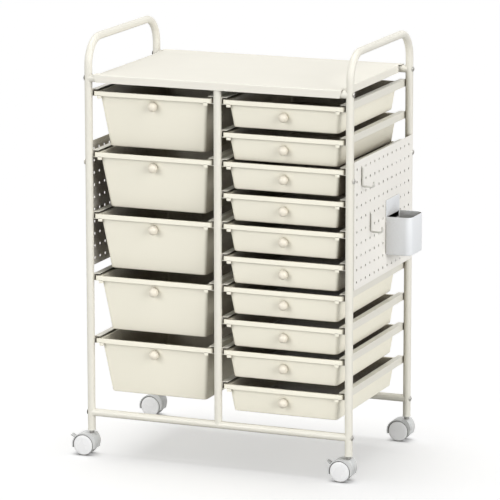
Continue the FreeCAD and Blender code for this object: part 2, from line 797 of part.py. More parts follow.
def hook_master():
    """Wire hook: caught behind the board, down its face and out to an upturned tip."""
    body = new_body("hook_wire")
    wire, bend = S["wire_dia"], S["wire_bend"]
    behind = -S["board_sheet"] - S["peg_slack"] - wire / 2
    face = wire / 2 + S["peg_slack"]
    drop, reach = -S["hook_drop"], face + S["hook_reach"]
    spine = new_sketch(body, "hook_spine", "XZ_Plane")
    shallow = (face - behind) / 2
    trace(spine, [
        (behind, S["peg_rise"]),
        (behind, shallow),
        (behind + shallow, 0, shallow),
        (face, -shallow, -shallow),
        (face, drop + bend),
        (face + bend, drop, bend),
        (reach - bend, drop),
        (reach, drop + bend, bend),
        (reach, drop + S["hook_tip"]),
    ], closed=False)
    ring = new_sketch(body, "hook_section", "XY_Plane", S["peg_rise"])
    circle(ring, behind, 0, wire / 2)
    piped(body, "hook_bend", ring, spine)
    return body


def lever_pivot():
    """Pivot of the brake lever, from the stem axis and the floor."""
    across = S["lever_radius"] * cosine(S["lever_angle"]) - S["trail"]
    up = S["lever_radius"] * sine(S["lever_angle"]) + WHEEL_R
    return across, up


def hood_master(name, braked):
    """Caster housing over both wheels: web, hood, stem bore and, if braked, a lever slot."""
    body = new_body(name)
    axle_x, axle_z = -S["trail"], WHEEL_R
    cavity = WHEEL_R + S["hood_gap"]
    shell = cavity + S["hood_band"]
    skirt, top, nose = S["hood_skirt"], S["hood_top"], S["hood_nose"]
    boss = S["stem_neck"] / 2 + S["hood_band"]
    below = axle_z - skirt
    left = axle_x - root(shell * shell - below * below)
    near = axle_x + boss
    crest = axle_z + root(shell * shell - boss * boss)
    side = new_sketch(body, f"{name}_side", "XZ_Plane")
    trace(side, [
        (left, skirt),
        (axle_x, axle_z + shell, -shell),
        (near, crest, -shell),
        (-S["stem_neck"] / 2, top),
        (S["stem_neck"] / 2, top),
        (nose, S["hood_nose_height"], -shell),
        (nose - S["hood_band"], skirt),
    ])
    pad(body, f"{name}_block", side, S["hood_wide"], both_ways=True)
    for label, offset, away in (
        ("front", S["hood_web"] / 2, True),
        ("rear", -S["hood_web"] / 2, False),
    ):
        well = new_sketch(body, f"{name}_{label}_well", "XZ_Plane", offset)
        circle(well, axle_x, axle_z, cavity)
        pocket(body, f"{name}_{label}_wheel_well", well, S["hood_wide"], reverse=away)
    bore = new_sketch(body, f"{name}_axle_bore_outline", "XZ_Plane")
    circle(bore, axle_x, axle_z, S["axle_dia"] / 2)
    pocket(body, f"{name}_axle_bore", bore, S["hood_wide"], both_ways=True)
    stem = new_sketch(body, f"{name}_stem_bore_outline", "XY_Plane", top)
    circle(stem, 0, 0, S["stem_dia"] / 2 + S["stem_gap"])
    pocket(body, f"{name}_stem_bore", stem, top - S["stem_bottom"] + S["collar_gap"])
    if braked:
        across, up = lever_pivot()
        slot = new_sketch(body, f"{name}_slot_outline", "XZ_Plane")
        hub, out = S["lever_hub"] / 2 + S["slot_side_gap"] * 2, S["lever_long"]
        trace(slot, [
            (across + hub, up - hub),
            (across + hub, up + hub),
            (across, up + out),
            (across - out, up + out),
            (across - out, up - hub),
        ])
        pocket(body, f"{name}_slot", slot, S["slot_wide"], both_ways=True)
        pin_bore = new_sketch(body, f"{name}_pin_bore_outline", "XZ_Plane")
        circle(pin_bore, across, up, S["lever_pin"] / 2)
        pocket(body, f"{name}_pin_bore", pin_bore, S["hood_wide"], both_ways=True)
    return body


def wheel_master():
    """Caster wheel on the +Y side: bored inside, closed and slightly domed outside."""
    body = new_body("caster_wheel")
    bore, tread = S["axle_dia"] / 2 + S["axle_gap"], WHEEL_R
    inner, outer = S["wheel_inner"], S["wheel_outer"]
    bevel, step = S["tread_bevel"], S["cover_step"]
    shoulder = outer - S["tread_inset"]
    axle_end = S["axle_long"] / 2 + S["cover_step"] / 2
    rim = tread - bevel - step
    profile = new_sketch(body, "wheel_profile", "XY_Plane")
    trace(profile, [
        (bore, inner),
        (tread - bevel, inner),
        (tread, inner + bevel),
        (tread, shoulder),
        (tread - bevel, shoulder + bevel),
        (rim, shoulder + bevel - step),
        (rim - step, outer - step),
        (rim - S["cover_crown"], outer),
        (0, outer),
        (0, axle_end),
        (bore, axle_end),
    ])
    turned(body, "wheel_turned", profile)
    return body


def stem_master():
    """Caster stem: pivot in the hood, collar under the post, shank in the plug."""
    body = new_body("stem_pin")
    foot = S["foot_height"]
    neck = S["hood_top"] + S["collar_gap"]
    profile = new_sketch(body, "stem_profile", "XZ_Plane")
    trace(profile, [
        (0, S["stem_bottom"]),
        (S["stem_dia"] / 2, S["stem_bottom"]),
        (S["stem_dia"] / 2, neck),
        (S["stem_neck"] / 2, neck),
        (S["stem_neck"] / 2, foot),
        (S["stem_upper"] / 2, foot),
        (S["stem_upper"] / 2, STEM_TOP),
        (0, STEM_TOP),
    ])
    turned(body, "stem_turned", profile)
    return body


def plug_master():
    """Plug in the foot of a post, flanged under the tube and bored for the stem."""
    body = new_body("foot_plug")
    foot = S["foot_height"]
    flange = foot + S["plug_flange"]
    sleeve = TUBE_R - S["tube_wall"] - S["plug_slack"]
    bore = S["stem_upper"] / 2
    profile = new_sketch(body, "plug_profile", "XZ_Plane")
    trace(profile, [
        (bore, foot),
        (S["plug_flange_dia"] / 2, foot),
        (S["plug_flange_dia"] / 2, flange),
        (sleeve, flange),
        (sleeve, PLUG_TOP),
        (bore, PLUG_TOP),
    ])
    turned(body, "plug_turned", profile)
    return body


def lever_master():
    """Brake lever with its pivot on the origin and its plate along +X."""
    body = new_body("lever_body")
    half, hub = S["lever_plate"] / 2, S["lever_hub"] / 2
    arm_wide = S["slot_wide"] - S["slot_side_gap"] * 2
    eye = new_sketch(body, "lever_eye", "XZ_Plane")
    circle(eye, 0, 0, hub)
    pad(body, "lever_eye_pad", eye, arm_wide, both_ways=True)
    arm = new_sketch(body, "lever_arm_outline", "XZ_Plane")
    trace(arm, [(0, -half), (S["lever_long"], -half), (S["lever_long"], half), (0, half)])
    pad(body, "lever_arm", arm, arm_wide, both_ways=True)
    paddle = new_sketch(body, "paddle_outline", "XY_Plane", -half)
    wide = S["paddle_wide"] / 2
    rounded_box(paddle, S["paddle_start"], S["lever_long"], -wide, wide, half)
    pad(body, "lever_paddle", paddle, S["lever_plate"])
    bore = new_sketch(body, "lever_bore_outline", "XZ_Plane")
    circle(bore, 0, 0, S["lever_pin"] / 2 + S["axle_gap"])
    pocket(body, "lever_bore", bore, S["slot_wide"] * PAST, both_ways=True)
    return body


nodes = []

side_tube = side_frame_master()
bar_tube = coped_tube_master("bar_tube", S["post_span_x"])
post_tube = coped_tube_master("post_tube", TOP_BAR - S["bottom_bar_height"])
bar_insert = insert_master()
shelf_sheet = shelf_master()
runner = runner_master()
deep_tub = tub_master("deep_tub", S["deep_drop"], S["deep_knob_drop"])
shallow_tub = tub_master("shallow_tub", S["shallow_drop"], S["shallow_knob_drop"])
knob = knob_master()
knob_screw = knob_screw_master()
board = board_master()
bar_screw = screw_master("bar_screw", S["bar_screw_length"])
board_screw = screw_master("board_screw", S["board_screw_length"])
pen_cup = bin_master()
hook = hook_master()
hood_braked = hood_master("hood_braked", True)
hood_plain = hood_master("hood_plain", False)
wheel = wheel_master()
stem = stem_master()
plug = plug_master()
lever = lever_master()
CROSSWISE = at(axis=X_AXIS, degrees=QUARTER_TURN)
lever_pin = cylinder("lever_pin", S["lever_pin"] / 2, S["hood_web"], CROSSWISE)
axle = cylinder("axle", S["axle_dia"] / 2, S["axle_long"], CROSSWISE)

mirrored_runner = doc.addObject("Part::Mirroring", "mirrored_runner")
mirrored_runner.Source = runner
mirrored_runner.Normal = X_AXIS
mirrored_board = doc.addObject("Part::Mirroring", "mirrored_board")
mirrored_board.Source = board
mirrored_board.Normal = X_AXIS

doc.recompute()

POSTS = [(-HALF_X, -HALF_Y), (HALF_X, -HALF_Y), (-HALF_X, HALF_Y), (HALF_X, HALF_Y)]
CORNERS = ["front_left", "front_right", "rear_left", "rear_right"]


def frame_nodes():
    node("side_frame_right", (side_tube, at(across=HALF_X)))
    node("side_frame_left", (side_tube, at(across=-HALF_X, degrees=HALF_TURN)))
    middle = (TOP_BAR + S["bottom_bar_height"]) / 2
    for name, along in (("middle_post_front", -HALF_Y), ("middle_post_rear", HALF_Y)):
        node(name, (post_tube, at(along=along, up=middle, axis=Y_AXIS, degrees=QUARTER_TURN)))
    start = TUBE_R + S["insert_inset"]
    for name, height in (("top_bars", TOP_BAR), ("bottom_bars", S["bottom_bar_height"])):
        pieces = []
        for along in (-HALF_Y, HALF_Y):
            pieces.append((bar_tube, at(along=along, up=height)))
            left = at(start - HALF_X, along, height, Y_AXIS, QUARTER_TURN)
            right = at(HALF_X - start, along, height, Y_AXIS, -QUARTER_TURN)
            pieces.extend([(bar_insert, left), (bar_insert, right)])
        node(name, *pieces)
    node("top_shelf", (shelf_sheet, at()))
    node("post_end_plugs", *[(plug, at(across, along)) for across, along in POSTS])
    node("caster_stems", *[(stem, at(across, along)) for across, along in POSTS])


def screw_nodes():
    pieces = []
    for across, along in POSTS:
        side = 1 if across.value > 0 else -1
        face = across + TUBE_R * side
        turn = QUARTER_TURN * side
        for height in (S["bottom_bar_height"], TOP_BAR):
            pieces.append((bar_screw, at(face, along, height, Y_AXIS, turn)))
        board_face = face + S["board_sheet"] * side
        pieces.append((board_screw, at(board_face, along, BOARD_SCREW, Y_AXIS, turn)))
    node("frame_screws", *pieces)


def runner_nodes():
    drop = S["lip_height"] + S["slide_gap"] + S["runner_sheet"]
    outer, inner = HALF_X - TUBE_R, TUBE_R
    left, right = [], []
    for level in DEEP_LEVELS:
        left.append((runner, at(across=-outer, up=level - drop)))
        left.append((mirrored_runner, at(across=-inner, up=level - drop)))
    for level in LEVELS:
        right.append((runner, at(across=inner, up=level - drop)))
        right.append((mirrored_runner, at(across=outer, up=level - drop)))
    node("left_runners", *left)
    node("right_runners", *right)


def drawer_nodes():
    """Each drawer is a tub and its knob, the knob with the screw that holds it."""
    columns = (
        ("deep", deep_tub, -COLUMN_X, DEEP_LEVELS, S["deep_knob_drop"]),
        ("shallow", shallow_tub, COLUMN_X, LEVELS, S["shallow_knob_drop"]),
    )
    for kind, tub, across, levels, knob_drop in columns:
        seat_y, seat_z = knob_seat(knob_drop)
        for number, level in enumerate(levels, start=1):
            node(f"{kind}_drawer_{number}", (tub, at(across, RIM_MID_Y, level)))
            seat = at(
                across,
                RIM_MID_Y + seat_y,
                level + seat_z,
                X_AXIS,
                QUARTER_TURN + S["front_draft"].value,
            )
            node(f"{kind}_knob_{number}", (knob, seat), (knob_screw, seat))


def side_nodes():
    face = HALF_X + TUBE_R
    node("pegboard_right", (board, at(across=face)))
    node("pegboard_left", (mirrored_board, at(across=-face)))
    node("pen_bin", (pen_cup, at(across=BOARD_FACE)))
    hooks = []
    for column, row in HOOK_HOLES:
        hooks.append((hook, at(BOARD_FACE, hole_column(column), hole_height(row))))
    node("pegboard_hooks", *hooks)


def caster_nodes():
    pivot_x, pivot_z = lever_pivot()
    for corner, (across, along) in zip(CORNERS, POSTS):
        braked = corner.startswith("front")
        axle_spot = at(across - S["trail"], along, WHEEL_R)
        pieces = [(hood_braked if braked else hood_plain, at(across, along)), (axle, axle_spot)]
        if braked:
            pieces.append((lever_pin, at(across + pivot_x, along, pivot_z)))
            lever_spot = at(across + pivot_x, along, pivot_z, Y_AXIS, -S["lever_angle"].value)
            node(f"brake_lever_{corner}", (lever, lever_spot))
        node(f"caster_housing_{corner}", *pieces)
        flipped = at(across - S["trail"], along, WHEEL_R, Z_AXIS, HALF_TURN)
        node(f"wheel_{corner}_outer", (wheel, flipped))
        node(f"wheel_{corner}_inner", (wheel, axle_spot))


def check_and_write():
    """Stop on any failed feature or bad solid, then write one file per node."""
    doc.recompute()
    for item in doc.Objects:
        if "Invalid" in item.State or "Error" in item.State:
            raise RuntimeError(f"{item.Name} failed: {item.State}")
    os.makedirs("parts", exist_ok=True)
    for item in nodes:
        if item.Shape.isNull() or not item.Shape.isValid():
            raise RuntimeError(f"{item.Label} has no valid shape")
        if not item.Shape.Solids:
            raise RuntimeError(f"{item.Label} has no solid")
        item.Shape.exportStep(f"parts/{item.Label}.step")
    print(f"{len(nodes)} nodes written")


frame_nodes()
screw_nodes()
runner_nodes()
drawer_nodes()
side_nodes()
caster_nodes()
check_and_write()
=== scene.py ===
"""Looks of the rolling storage cart: moulded drawers, coated tube and sheet, casters, studio."""
import math

import bmesh
import bpy
from mathutils import Matrix, Vector


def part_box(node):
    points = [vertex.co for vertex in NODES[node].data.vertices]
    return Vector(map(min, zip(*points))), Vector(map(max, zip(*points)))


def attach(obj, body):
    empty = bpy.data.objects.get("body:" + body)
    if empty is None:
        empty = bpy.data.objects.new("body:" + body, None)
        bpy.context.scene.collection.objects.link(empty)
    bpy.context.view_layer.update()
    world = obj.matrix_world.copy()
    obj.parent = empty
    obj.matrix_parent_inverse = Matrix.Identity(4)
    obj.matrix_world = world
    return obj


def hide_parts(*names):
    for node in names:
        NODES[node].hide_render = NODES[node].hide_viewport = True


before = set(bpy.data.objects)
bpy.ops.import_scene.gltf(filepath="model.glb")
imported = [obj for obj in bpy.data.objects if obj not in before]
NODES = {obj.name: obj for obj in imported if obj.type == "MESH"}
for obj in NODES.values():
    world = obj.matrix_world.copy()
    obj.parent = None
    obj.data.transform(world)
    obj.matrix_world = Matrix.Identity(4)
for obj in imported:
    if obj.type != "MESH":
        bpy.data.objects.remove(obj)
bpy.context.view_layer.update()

MM = 0.001
TURN = 2 * math.pi
ACROSS = Vector((1, 0, 0))
ALONG = Vector((0, 1, 0))
UP = Vector((0, 0, 1))

# Sizes of the real pieces in metres; places come from the frame.
TUBE_R = 8 * MM
COPE_GAP = 0.1 * MM
HANDLE_BEND = 55 * MM

WALL = 1.8 * MM
SIDE_LEDGE = 11.5 * MM
FRONT_LEDGE = 4.5 * MM
LIP = 9.2 * MM
RIM_R = 8 * MM
TUB_R = 7.5 * MM
FOOT_R = 2.5 * MM
INNER_FOOT_R = 2 * MM
FOOT_SINK = 0.7 * MM
RIM_EDGE = 0.9 * MM
RIM_FILLET = 0.8 * MM
LIP_EDGE = 0.4 * MM
SIDE_LEAN = math.tan(math.radians(6.4))
FRONT_DRAFT = math.radians(11.5)
FRONT_LEAN = math.tan(FRONT_DRAFT)
TAB_WIDTH = 9 * MM
TAB_DROP = 5.5 * MM
TAB_INSET = 9 * MM
TAB_ROOT = 1.5 * MM
TAB_BEVEL = 0.45 * MM

KNOB_R = 9.75 * MM
KNOB_STAND = 7.5 * MM
KNOB_SKIRT_R = 6.9 * MM
KNOB_SCREW_R = 4 * MM
KNOB_SCREW_CROWN = 2 * MM
KNOB_SCREW_EDGE = 0.8 * MM

BOARD_FRONT = -172 * MM
BOARD_REAR = 170 * MM
BOARD_SHEET = 1.2 * MM
BOARD_CORNER_R = 3 * MM
BOARD_SCREW_Z = 614 * MM
FIXING_HOLE_R = 2.6 * MM
HOLE_FRONT = 15.2 * MM
HOLE_TOP = 16.9 * MM
HOLE_PITCH = 25.4 * MM
HOLE_R = 2.8 * MM
HOLE_ROWS = 10
HOLE_COLUMNS = 13

# Holes that carry the bin and the hooks, as column from the front and row from the top, from 0.
BIN_PEG_HOLES = ((7, 4), (9, 4))
HOOK_HOLES = ((1, 0), (3, 4))

BIN_WALL = 1.8 * MM
BIN_TALL = 78.5 * MM
BIN_OUTER_R = 15 * MM
BIN_INNER_R = 1.8 * MM
BIN_FOOT_R = 2.5 * MM
BIN_LIP = 0.7 * MM
BIN_BACK_LAP = 12 * MM
PEG_WIDTH = 3.6 * MM
PEG_RISE = 8 * MM

WIRE_R = 2 * MM
WIRE_BEHIND = 1.5 * MM
WIRE_GAP = 0.3 * MM
HOOK_RISE = 8 * MM
HOOK_DROP = 38 * MM
HOOK_REACH = 24 * MM
HOOK_TIP = 11 * MM
HOOK_BEND = 4 * MM
HOOK_NECK_BEND = 2.6 * MM

SCREW_HEAD_R = 5.75 * MM
SCREW_CROWN = 2.2 * MM
SCREW_R = 2.5 * MM
SCREW_SHOWN = 6 * MM
SOCKET_REACH = 1.9 * MM
SOCKET_FLOOR = 0.5 * MM

PLUG_FLANGE = 3 * MM
PLUG_FLANGE_R = 8.6 * MM
PLUG_SLEEVE_R = 6.6 * MM
PLUG_BORE_R = 4.0 * MM
PLUG_LENGTH = 12 * MM
STEM_FOOT = 31 * MM
STEM_NECK = 47 * MM
STEM_NECK_R = 5.0 * MM
STEM_UPPER_R = 3.95 * MM
STEM_LENGTH = 20 * MM

# Smallest radius of a lathed profile, so that its ends close with a small face.
AXIS_R = 0.1 * MM

# Steps of the bends and corners, and degrees between the steps of a small fillet.
HANDLE_STEPS = 24
CORNER_STEPS = 8
BOARD_CORNER_STEPS = 6
BIN_CORNER_STEPS = 10
KNOB_STEPS = 16
FILLET_STEP = 15
# Segments of full circles.
TUBE_SEGMENTS = 40
HOLE_SEGMENTS = 24
EAR_SEGMENTS = 32
KNOB_SEGMENTS = 40
SCREW_SEGMENTS = 24
PLUG_SEGMENTS = 40
STEM_SEGMENTS = 32
WHEEL_SEGMENTS = 56
WIRE_SEGMENTS = 20
# Vertices closer than this become one.
MERGE_REACH = 0.001 * MM


def box_mid(node):
    """Middle of a node's box."""
    low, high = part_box(node)
    return (low + high) / 2


def linear(red, green, blue):
    """Linear colour from the 0 to 255 values that a screen shows."""
    return tuple(((value / 255 + 0.055) / 1.055) ** 2.4 for value in (red, green, blue))


# Materials

# Painted shade: within these reaches the colour darkens where little open space is left round the
# surface.
PAINTED_SHADE_REACH = 110 * MM
INSIDE_PAINTED_SHADE_REACH = 240 * MM
DRAWER_PAINTED_SHADE_REACH = 80 * MM
BOARD_PAINTED_SHADE_REACH = 75 * MM
RUNNER_PAINTED_SHADE_REACH = 22 * MM
SMALL_PAINTED_SHADE_REACH = 7 * MM
PAINTED_SHADE_SAMPLES = 4
# Most values of a noise lie between these two.
NOISE_LOW = 0.3
NOISE_HIGH = 0.7
# Painted shade: colour factor by the share of open space, dark brown where the surface is shut
# in.
PAINTED_SHADE_TINTS = (
    (0.04, (0.095, 0.07, 0.05)),
    (0.18, (0.35, 0.31, 0.245)),
    (0.46, (1.0, 1.0, 1.0)),
)


def new_material(name, color, roughness):
    """Material with its node tree and its shader."""
    material = bpy.data.materials.new(name)
    material.use_nodes = True
    shader = material.node_tree.nodes["Principled BSDF"]
    shader.inputs["Base Color"].default_value = (*color, 1)
    shader.inputs["Roughness"].default_value = roughness
    return material, material.node_tree, shader


def add_node(tree, kind, **settings):
    """New node of the tree with its settings."""
    item = tree.nodes.new(kind)
    for key, value in settings.items():
        setattr(item, key, value)
    return item


def noise(tree, scale, detail=3.0, stretch=(1, 1, 1)):
    """Noise in the piece's own space, so that it moves with the piece."""
    spot = add_node(tree, "ShaderNodeTexCoord")
    mapping = add_node(tree, "ShaderNodeMapping")
    mapping.inputs["Scale"].default_value = stretch
    texture = add_node(tree, "ShaderNodeTexNoise")
    texture.inputs["Scale"].default_value = scale
    texture.inputs["Detail"].default_value = detail
    tree.links.new(spot.outputs["Object"], mapping.inputs["Vector"])
    tree.links.new(mapping.outputs["Vector"], texture.inputs["Vector"])
    return texture.outputs["Fac"]


def ramp(tree, source, low, high):
    """Map the middle of a noise's values onto the span from low to high."""
    item = add_node(tree, "ShaderNodeMapRange")
    item.inputs["From Min"].default_value = NOISE_LOW
    item.inputs["From Max"].default_value = NOISE_HIGH
    item.inputs["To Min"].default_value = low
    item.inputs["To Max"].default_value = high
    tree.links.new(source, item.inputs["Value"])
    return item.outputs["Result"]


def painted_crevice_shade(tree, color, shade_reach):
    """Painted shade: darken the colour where the surface is shut in, as in the narrow gaps of the
    cart.
    """
    reach = add_node(tree, "ShaderNodeAmbientOcclusion", samples=PAINTED_SHADE_SAMPLES)
    reach.inputs["Distance"].default_value = shade_reach
    shade_tints = add_node(tree, "ShaderNodeValToRGB")
    stops = shade_tints.color_ramp.elements
    for place, shade in PAINTED_SHADE_TINTS:
        stops.new(place).color = (*shade, 1)
    stops.remove(stops[-1])
    stops.remove(stops[0])
    tree.links.new(reach.outputs["AO"], shade_tints.inputs["Fac"])
    deep = add_node(tree, "ShaderNodeVectorMath", operation="MULTIPLY")
    tree.links.new(color, deep.inputs[0])
    tree.links.new(shade_tints.outputs["Color"], deep.inputs[1])
    return deep.outputs["Vector"]


def mottle_and_painted_shade(tree, shader, color, amount, scale, stretch=(1, 1, 1), shade_reach=PAINTED_SHADE_REACH):
    """Very soft light and dark clouds in the colour, with painted shade in crevices."""
    mix = add_node(tree, "ShaderNodeMix", data_type="RGBA")
    dark = tuple(channel * (1 - amount) for channel in color)
    light = tuple(min(channel * (1 + amount), 1) for channel in color)
    for socket in mix.inputs:
        if socket.name == "A" and socket.type == "RGBA":
            socket.default_value = (*dark, 1)
        if socket.name == "B" and socket.type == "RGBA":
            socket.default_value = (*light, 1)
    clouds = noise(tree, scale, 2.0, stretch)
    tree.links.new(ramp(tree, clouds, 0, 1), mix.inputs["Factor"])
    result = next(item for item in mix.outputs if item.type == "RGBA")
    tree.links.new(painted_crevice_shade(tree, result, shade_reach), shader.inputs["Base Color"])


def grain(tree, shader, scale, height):
    """Fine surface bump, height in metres."""
    bump = add_node(tree, "ShaderNodeBump")
    bump.inputs["Strength"].default_value = 1.0
    bump.inputs["Distance"].default_value = height
    tree.links.new(noise(tree, scale, 4.0), bump.inputs["Height"])
    tree.links.new(bump.outputs["Normal"], shader.inputs["Normal"])


def powder_coat(name, color, shade_reach=PAINTED_SHADE_REACH, satin=0.38, gloss=0.5):
    """Powder coat: faint orange peel, slightly uneven roughness and painted shade in crevices."""
    material, tree, shader = new_material(name, color, satin)
    shader.inputs["Specular IOR Level"].default_value = gloss
    mottle_and_painted_shade(tree, shader, color, amount=0.008, scale=9, shade_reach=shade_reach)
    rough = ramp(tree, noise(tree, 60), satin - 0.02, satin + 0.02)
    tree.links.new(rough, shader.inputs["Roughness"])
    grain(tree, shader, scale=900, height=0.04 * MM)
    return material


def moulded(name, color, rough_low, rough_high, peel, shade_reach=PAINTED_SHADE_REACH):
    """Moulded plastic with a spark-eroded grain, peel high, slight flow clouds and painted shade
    in crevices.
    """
    material, tree, shader = new_material(name, color, (rough_low + rough_high) / 2)
    mottle_and_painted_shade(tree, shader, color, amount=0.015, scale=5, stretch=(1, 1, 0.4), shade_reach=shade_reach)
    rough = ramp(tree, noise(tree, 25), rough_low, rough_high)
    tree.links.new(rough, shader.inputs["Roughness"])
    grain(tree, shader, scale=1500, height=peel)
    return material


def plated_steel(name, color, roughness):
    """Plated steel with fine turning marks and painted shade in crevices."""
    material, tree, shader = new_material(name, color, roughness)
    shader.inputs["Metallic"].default_value = 0.85
    mottle_and_painted_shade(tree, shader, color, amount=0.12, scale=400)
    grain(tree, shader, scale=2500, height=0.03 * MM)
    return material


IVORY = linear(222, 219, 208)
CREAM = linear(238, 234, 218)
SHELF_IVORY = linear(227, 224, 214)
BOARD_IVORY = linear(236, 233, 226)
KNOB_CREAM = linear(226, 219, 203)
BIN_WHITE = linear(226, 228, 230)
HOOD_GREY = linear(204, 205, 204)
COVER_WHITE = linear(232, 232, 232)
TREAD_GREY = linear(178, 178, 177)
PLUG_WHITE = linear(222, 221, 212)
NICKEL = linear(190, 188, 182)
ZINC = linear(176, 175, 171)
WIRE_GREY = linear(206, 205, 198)

COAT = powder_coat("ivory_powder_coat", IVORY)
SHELF_COAT = powder_coat("shelf_powder_coat", SHELF_IVORY, satin=0.75, gloss=0.08)
RUNNER_COAT = powder_coat("runner_powder_coat", IVORY, RUNNER_PAINTED_SHADE_REACH)
BOARD_COAT = powder_coat("board_powder_coat", BOARD_IVORY, BOARD_PAINTED_SHADE_REACH)
DRAWER = moulded("cream_polypropylene", CREAM, 0.42, 0.52, 0.05 * MM, DRAWER_PAINTED_SHADE_REACH)
# Painted shade: the inside of each tub reaches much further for its painted shade, so the
# drawers' insides stay dark.
DRAWER_INSIDE_SHADED = moulded("cream_drawer_inside_painted_shade", CREAM, 0.34, 0.42, 0.02 * MM, INSIDE_PAINTED_SHADE_REACH)
KNOB = moulded("cream_knob", KNOB_CREAM, 0.3, 0.4, 0.01 * MM, SMALL_PAINTED_SHADE_REACH)
BIN = moulded("pale_bin_plastic", BIN_WHITE, 0.28, 0.36, 0.02 * MM)
CASTER = moulded("pale_caster_nylon", HOOD_GREY, 0.25, 0.35, 0.02 * MM, SMALL_PAINTED_SHADE_REACH)
COVER = moulded("wheel_cover_nylon", COVER_WHITE, 0.25, 0.35, 0.01 * MM, SMALL_PAINTED_SHADE_REACH)
TREAD = moulded("grey_tread", TREAD_GREY, 0.5, 0.65, 0.04 * MM, SMALL_PAINTED_SHADE_REACH)
PLUG = moulded("plug_nylon", PLUG_WHITE, 0.4, 0.5, 0.03 * MM)
SCREW = plated_steel("nickel_screw", NICKEL, 0.3)
STEM = plated_steel("zinc_stem", ZINC, 0.35)
WIRE = powder_coat("hook_coat", WIRE_GREY)


# Mesh tools


def finish_piece(name, bm, materials, sharp=35):
    """Turn a bmesh into a smooth object whose creases over the sharp angle stay crisp."""
    bmesh.ops.remove_doubles(bm, verts=bm.verts, dist=MERGE_REACH)
    bmesh.ops.recalc_face_normals(bm, faces=bm.faces)
    for face in bm.faces:
        face.smooth = True
    limit = math.radians(sharp)
    for edge in bm.edges:
        if len(edge.link_faces) == 2:
            edge.smooth = edge.calc_face_angle() < limit
    mesh = bpy.data.meshes.new(name)
    bm.to_mesh(mesh)
    bm.free()
    for material in materials:
        mesh.materials.append(material)
    piece = bpy.data.objects.new(name, mesh)
    bpy.context.scene.collection.objects.link(piece)
    return piece


def bridge(bm, lower, upper, material=0):
    """Band of faces between two rings of vertices."""
    count = len(lower)
    for index in range(count):
        after = (index + 1) % count
        face = bm.faces.new((lower[index], lower[after], upper[after], upper[index]))
        face.material_index = material


def stack(bm, rings, close_ends=True, materials=None):
    """Join rings of equal length into one skin; materials gives one index per band."""
    rows = [[bm.verts.new(point) for point in ring] for ring in rings]
    for number, (lower, upper) in enumerate(zip(rows, rows[1:])):
        bridge(bm, lower, upper, materials[number] if materials else 0)
    if close_ends:
        first = bm.faces.new(list(reversed(rows[0])))
        last = bm.faces.new(rows[-1])
        if materials:
            first.material_index, last.material_index = materials[0], materials[-1]
    return rows


def rounded_ring(half_x, half_y, radius, height):
    """Rectangle with round corners about the Z axis."""
    ring = []
    for corner in range(4):
        sign_x = 1 if corner in (0, 3) else -1
        sign_y = 1 if corner in (0, 1) else -1
        centre = (sign_x * (half_x - radius), sign_y * (half_y - radius))
        for x, y in arc(centre, radius, 90 * corner, 90 * (corner + 1), CORNER_STEPS):
            ring.append(Vector((x, y, height)))
    return ring


def arc(centre, radius, start, end, steps):
    """Points on a flat arc, angles in degrees."""
    points = []
    for step in range(steps + 1):
        turn = math.radians(start + (end - start) * step / steps)
        points.append((centre[0] + radius * math.cos(turn), centre[1] + radius * math.sin(turn)))
    return points


def fillet_turns():
    """Angles of the steps of a quarter round."""
    return [math.radians(angle) for angle in range(0, 91, FILLET_STEP)]


def lathe(bm, profile, place, segments, materials=None):
    """Revolve (radius, height) points about the place's own Z axis."""
    rings = []
    for radius, height in profile:
        rings.append([
            place @ Vector((
                radius * math.cos(TURN * step / segments),
                radius * math.sin(TURN * step / segments),
                height,
            ))
            for step in range(segments)
        ])
    return stack(bm, rings, True, materials)


def sweep(bm, path, radius, side, segments):
    """Round tube along a flat path; side is the normal of the path's plane."""
    rings = []
    for index, spot in enumerate(path):
        before = path[max(index - 1, 0)]
        after = path[min(index + 1, len(path) - 1)]
        across = (after - before).normalized().cross(side).normalized()
        ring = []
        for step in range(segments):
            turn = TURN * step / segments
            ring.append(spot + radius * (side * math.cos(turn) + across * math.sin(turn)))
        rings.append(ring)
    stack(bm, rings)


def bend_path(corners, radius, steps):
    """Straight runs through the corners, with a round bend at each inner corner."""
    path = [corners[0]]
    for before, corner, after in zip(corners, corners[1:], corners[2:]):
        into = (before - corner).normalized()
        out = (after - corner).normalized()
        half = into.angle(out) / 2
        reach = radius / math.tan(half)
        centre = corner + (into + out).normalized() * (radius / math.sin(half))
        first, last = corner + into * reach - centre, corner + out * reach - centre
        axis = first.cross(last).normalized()
        sweep_angle = first.angle(last)
        for step in range(steps + 1):
            turn = Matrix.Rotation(sweep_angle * step / steps, 3, axis)
            path.append(centre + turn @ first)
    path.append(corners[-1])
    return path


def cuboid(bm, low, high, bevel):
    """Box between two corners with rounded edges."""
    size = Vector(high) - Vector(low)
    middle = (Vector(high) + Vector(low)) / 2
    made = bmesh.ops.create_cube(bm, size=1)
    bmesh.ops.scale(bm, vec=size, verts=made["verts"])
    bmesh.ops.translate(bm, vec=middle, verts=made["verts"])
    edges = list({edge for vert in made["verts"] for edge in vert.link_edges})
    bmesh.ops.bevel(bm, geom=edges, offset=bevel, segments=3, affect="EDGES", profile=0.5)


def stand_in(piece, body, node):
    """Ride on the body and take the node's place."""
    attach(piece, body)
    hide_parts(node)


# Frame of tube


